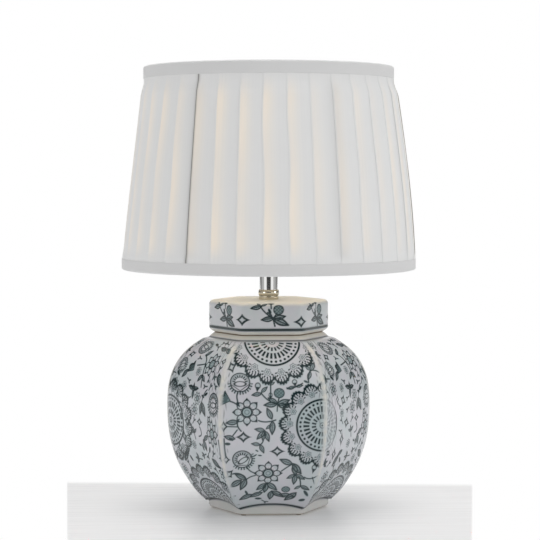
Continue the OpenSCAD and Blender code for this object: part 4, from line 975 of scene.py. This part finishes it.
# Table, light and camera
# Not part of the lamp: a pale table top with a fine grain in a white room, a few soft lights, the
# glow of the bulb inside the shade, and the photograph's camera.
LOOK = math.radians(-2.7)
right = np.array([math.cos(LOOK), math.sin(LOOK), 0])
back = np.array([-math.sin(LOOK), math.cos(LOOK), 0])
table = bpy.data.objects.new("table", bpy.data.meshes.new("table"))
table.data.from_pydata([(-3, -3, 0), (3, -3, 0), (3, 3, 0), (-3, 3, 0)], [], [(0, 1, 2, 3)])
bpy.context.scene.collection.objects.link(table)
top, tree, shader = material("pale_table", Roughness=0.42, Emission_Color=(1.0, 1.0, 1.0),
                             Emission_Strength=0.10)
place = node(tree, "ShaderNodeTexCoord").outputs["Object"]


def within(direction, near, far):
    """1 within near metres along a direction, falling to 0 at far."""
    along = node(tree, "ShaderNodeVectorMath", [(0, place)], operation="DOT_PRODUCT")
    along.inputs[1].default_value = tuple(float(x) for x in direction)
    values = {"From Min": near, "From Max": far, "To Min": 1.0, "To Max": 0.0}
    fall = node(tree, "ShaderNodeMapRange", [("Value", along.outputs["Value"])],
                interpolation_type="SMOOTHSTEP", **values)
    return fall.outputs["Result"]


# the table top ends at the sides, a little slanted, and at the back, and is white room beyond
on_table = maths(tree, "MULTIPLY", within(right - 0.1095 * back, 0.2118, 0.2142),
                 within(-right - 0.1085 * back, 0.2098, 0.2122))
on_table = maths(tree, "MULTIPLY", on_table, within(back + 0.038 * right, 0.130, 0.153))
grain = node(tree, "ShaderNodeMapping", [("Vector", place)])
grain.inputs["Scale"].default_value = (6, 160, 1)
streaks = node(tree, "ShaderNodeTexNoise", [("Vector", grain.outputs["Vector"])], Scale=1.0, Detail=4.0)
pale = blend(tree, (0.68, 0.68, 0.685), (0.90, 0.90, 0.905), streaks.outputs["Fac"])
tree.links.new(pale, shader.inputs["Base Color"])
beyond = node(tree, "ShaderNodeEmission", Strength=1.0)
mixed = node(tree, "ShaderNodeMixShader", [("Fac", on_table), (1, beyond.outputs[0]), (2, shader.outputs[0])])
tree.links.new(mixed.outputs[0], tree.nodes["Material Output"].inputs["Surface"])
dress(top, table)

world = bpy.data.worlds.new("white_room")
bpy.context.scene.world = world
world.use_nodes = True
tree = world.node_tree
path = node(tree, "ShaderNodeLightPath").outputs
mirrored = maths(tree, "MAXIMUM", path["Is Glossy Ray"], path["Is Transmission Ray"])
strength = maths(tree, "MULTIPLY_ADD", maths(tree, "MAXIMUM", path["Is Camera Ray"], mirrored), 0.5, 0.5)
# what a mirror shows of the room, from the white far wall to the dark side where the camera is
way_out = node(tree, "ShaderNodeTexCoord").outputs["Generated"]
toward = node(tree, "ShaderNodeVectorMath", [(0, way_out)], operation="DOT_PRODUCT")
toward.inputs[1].default_value = tuple(float(-x) for x in back)
share = maths(tree, "MULTIPLY_ADD", toward.outputs["Value"], 0.5, 0.5)
walls = node(tree, "ShaderNodeValToRGB", [("Fac", share)])
stops = walls.color_ramp.elements
for at, grey in ((0.045, 1), (0.06, 0.25), (0.37, 0.22), (0.44, 0.45), (0.72, 0.5), (0.765, 1), (0.935, 1),
                 (0.96, 0.06)):
    stops.new(at).color = (grey, grey, grey, 1)
stops.remove(stops[-1])
stops[0].color = (1, 1, 1, 1)
dark = maths(tree, "MULTIPLY", maths(tree, "SUBTRACT", 1.0, walls.outputs["Color"]), path["Is Glossy Ray"])
lit_room = maths(tree, "MULTIPLY", strength, maths(tree, "SUBTRACT", 1.0, dark))
tree.links.new(lit_room, tree.nodes["Background"].inputs["Strength"])
tree.nodes["Background"].inputs["Color"].default_value = (1, 1, 1, 1)


def pointing(way):
    """The turn that points -Z against a direction, with X level."""
    return math.atan2(math.hypot(*way[:2]), way[2]), 0, math.atan2(way[0], -way[1])


def light(name, kind, watts, place, size, tall=None, colour=(1, 1, 1), aim=(0, 0, 0.2)):
    """A light at a place in metres, turned to its aim, square or tall."""
    lamp = bpy.data.lights.new(name, kind)
    lamp.energy, lamp.color = watts, colour
    if kind == "AREA":
        lamp.shape, lamp.size, lamp.size_y = "RECTANGLE", size, tall or size
    else:
        lamp.shadow_soft_size = size
    obj = bpy.data.objects.new(name, lamp)
    obj.location = place
    obj.rotation_euler = pointing(np.array(place) - np.array(aim))
    bpy.context.scene.collection.objects.link(obj)
    return obj


for soft_light in (("window_left", "AREA", 4.4, (-1.6, -1.6, 1.6), 1.4),
                   ("window_right", "AREA", 9, (1.7, -1.2, 1.5), 1.4),
                   ("ceiling", "AREA", 14, (0, 0.3, 1.9), 1.2)):
    light(*soft_light).visible_glossy = False
# two tall soft boxes that show in the glaze along the ribs
for strip_light in (("strip_left", "AREA", 10, (-1.34, -0.87, 0.9), 0.14, 1.5),
                    ("strip_right", "AREA", 20, (1.55, -0.41, 0.9), 0.4, 1.5)):
    light(*strip_light).visible_diffuse = False
bulb_light = light("bulb_light", "POINT", 0.7, (0, 0, 0.3684), 0.031, colour=(1.0, 0.62, 0.30))
bulb_light.visible_glossy = False

camera = bpy.data.objects.new("camera", bpy.data.cameras.new("camera"))
EYE_BACK, EYE_HEIGHT, AIM_HEIGHT, AIM_RIGHT = 1.945, 0.348, 0.248, 0.00135
eye = -EYE_BACK * back + np.array([0, 0, EYE_HEIGHT])
target = np.array([0, 0, AIM_HEIGHT]) + AIM_RIGHT * right
camera.location = eye
camera.rotation_euler = pointing(eye - target)
camera.data.lens, camera.data.sensor_width = 124.67, 36
bpy.context.scene.collection.objects.link(camera)
bpy.context.scene.camera = camera
bpy.context.scene.view_settings.view_transform = "Standard"
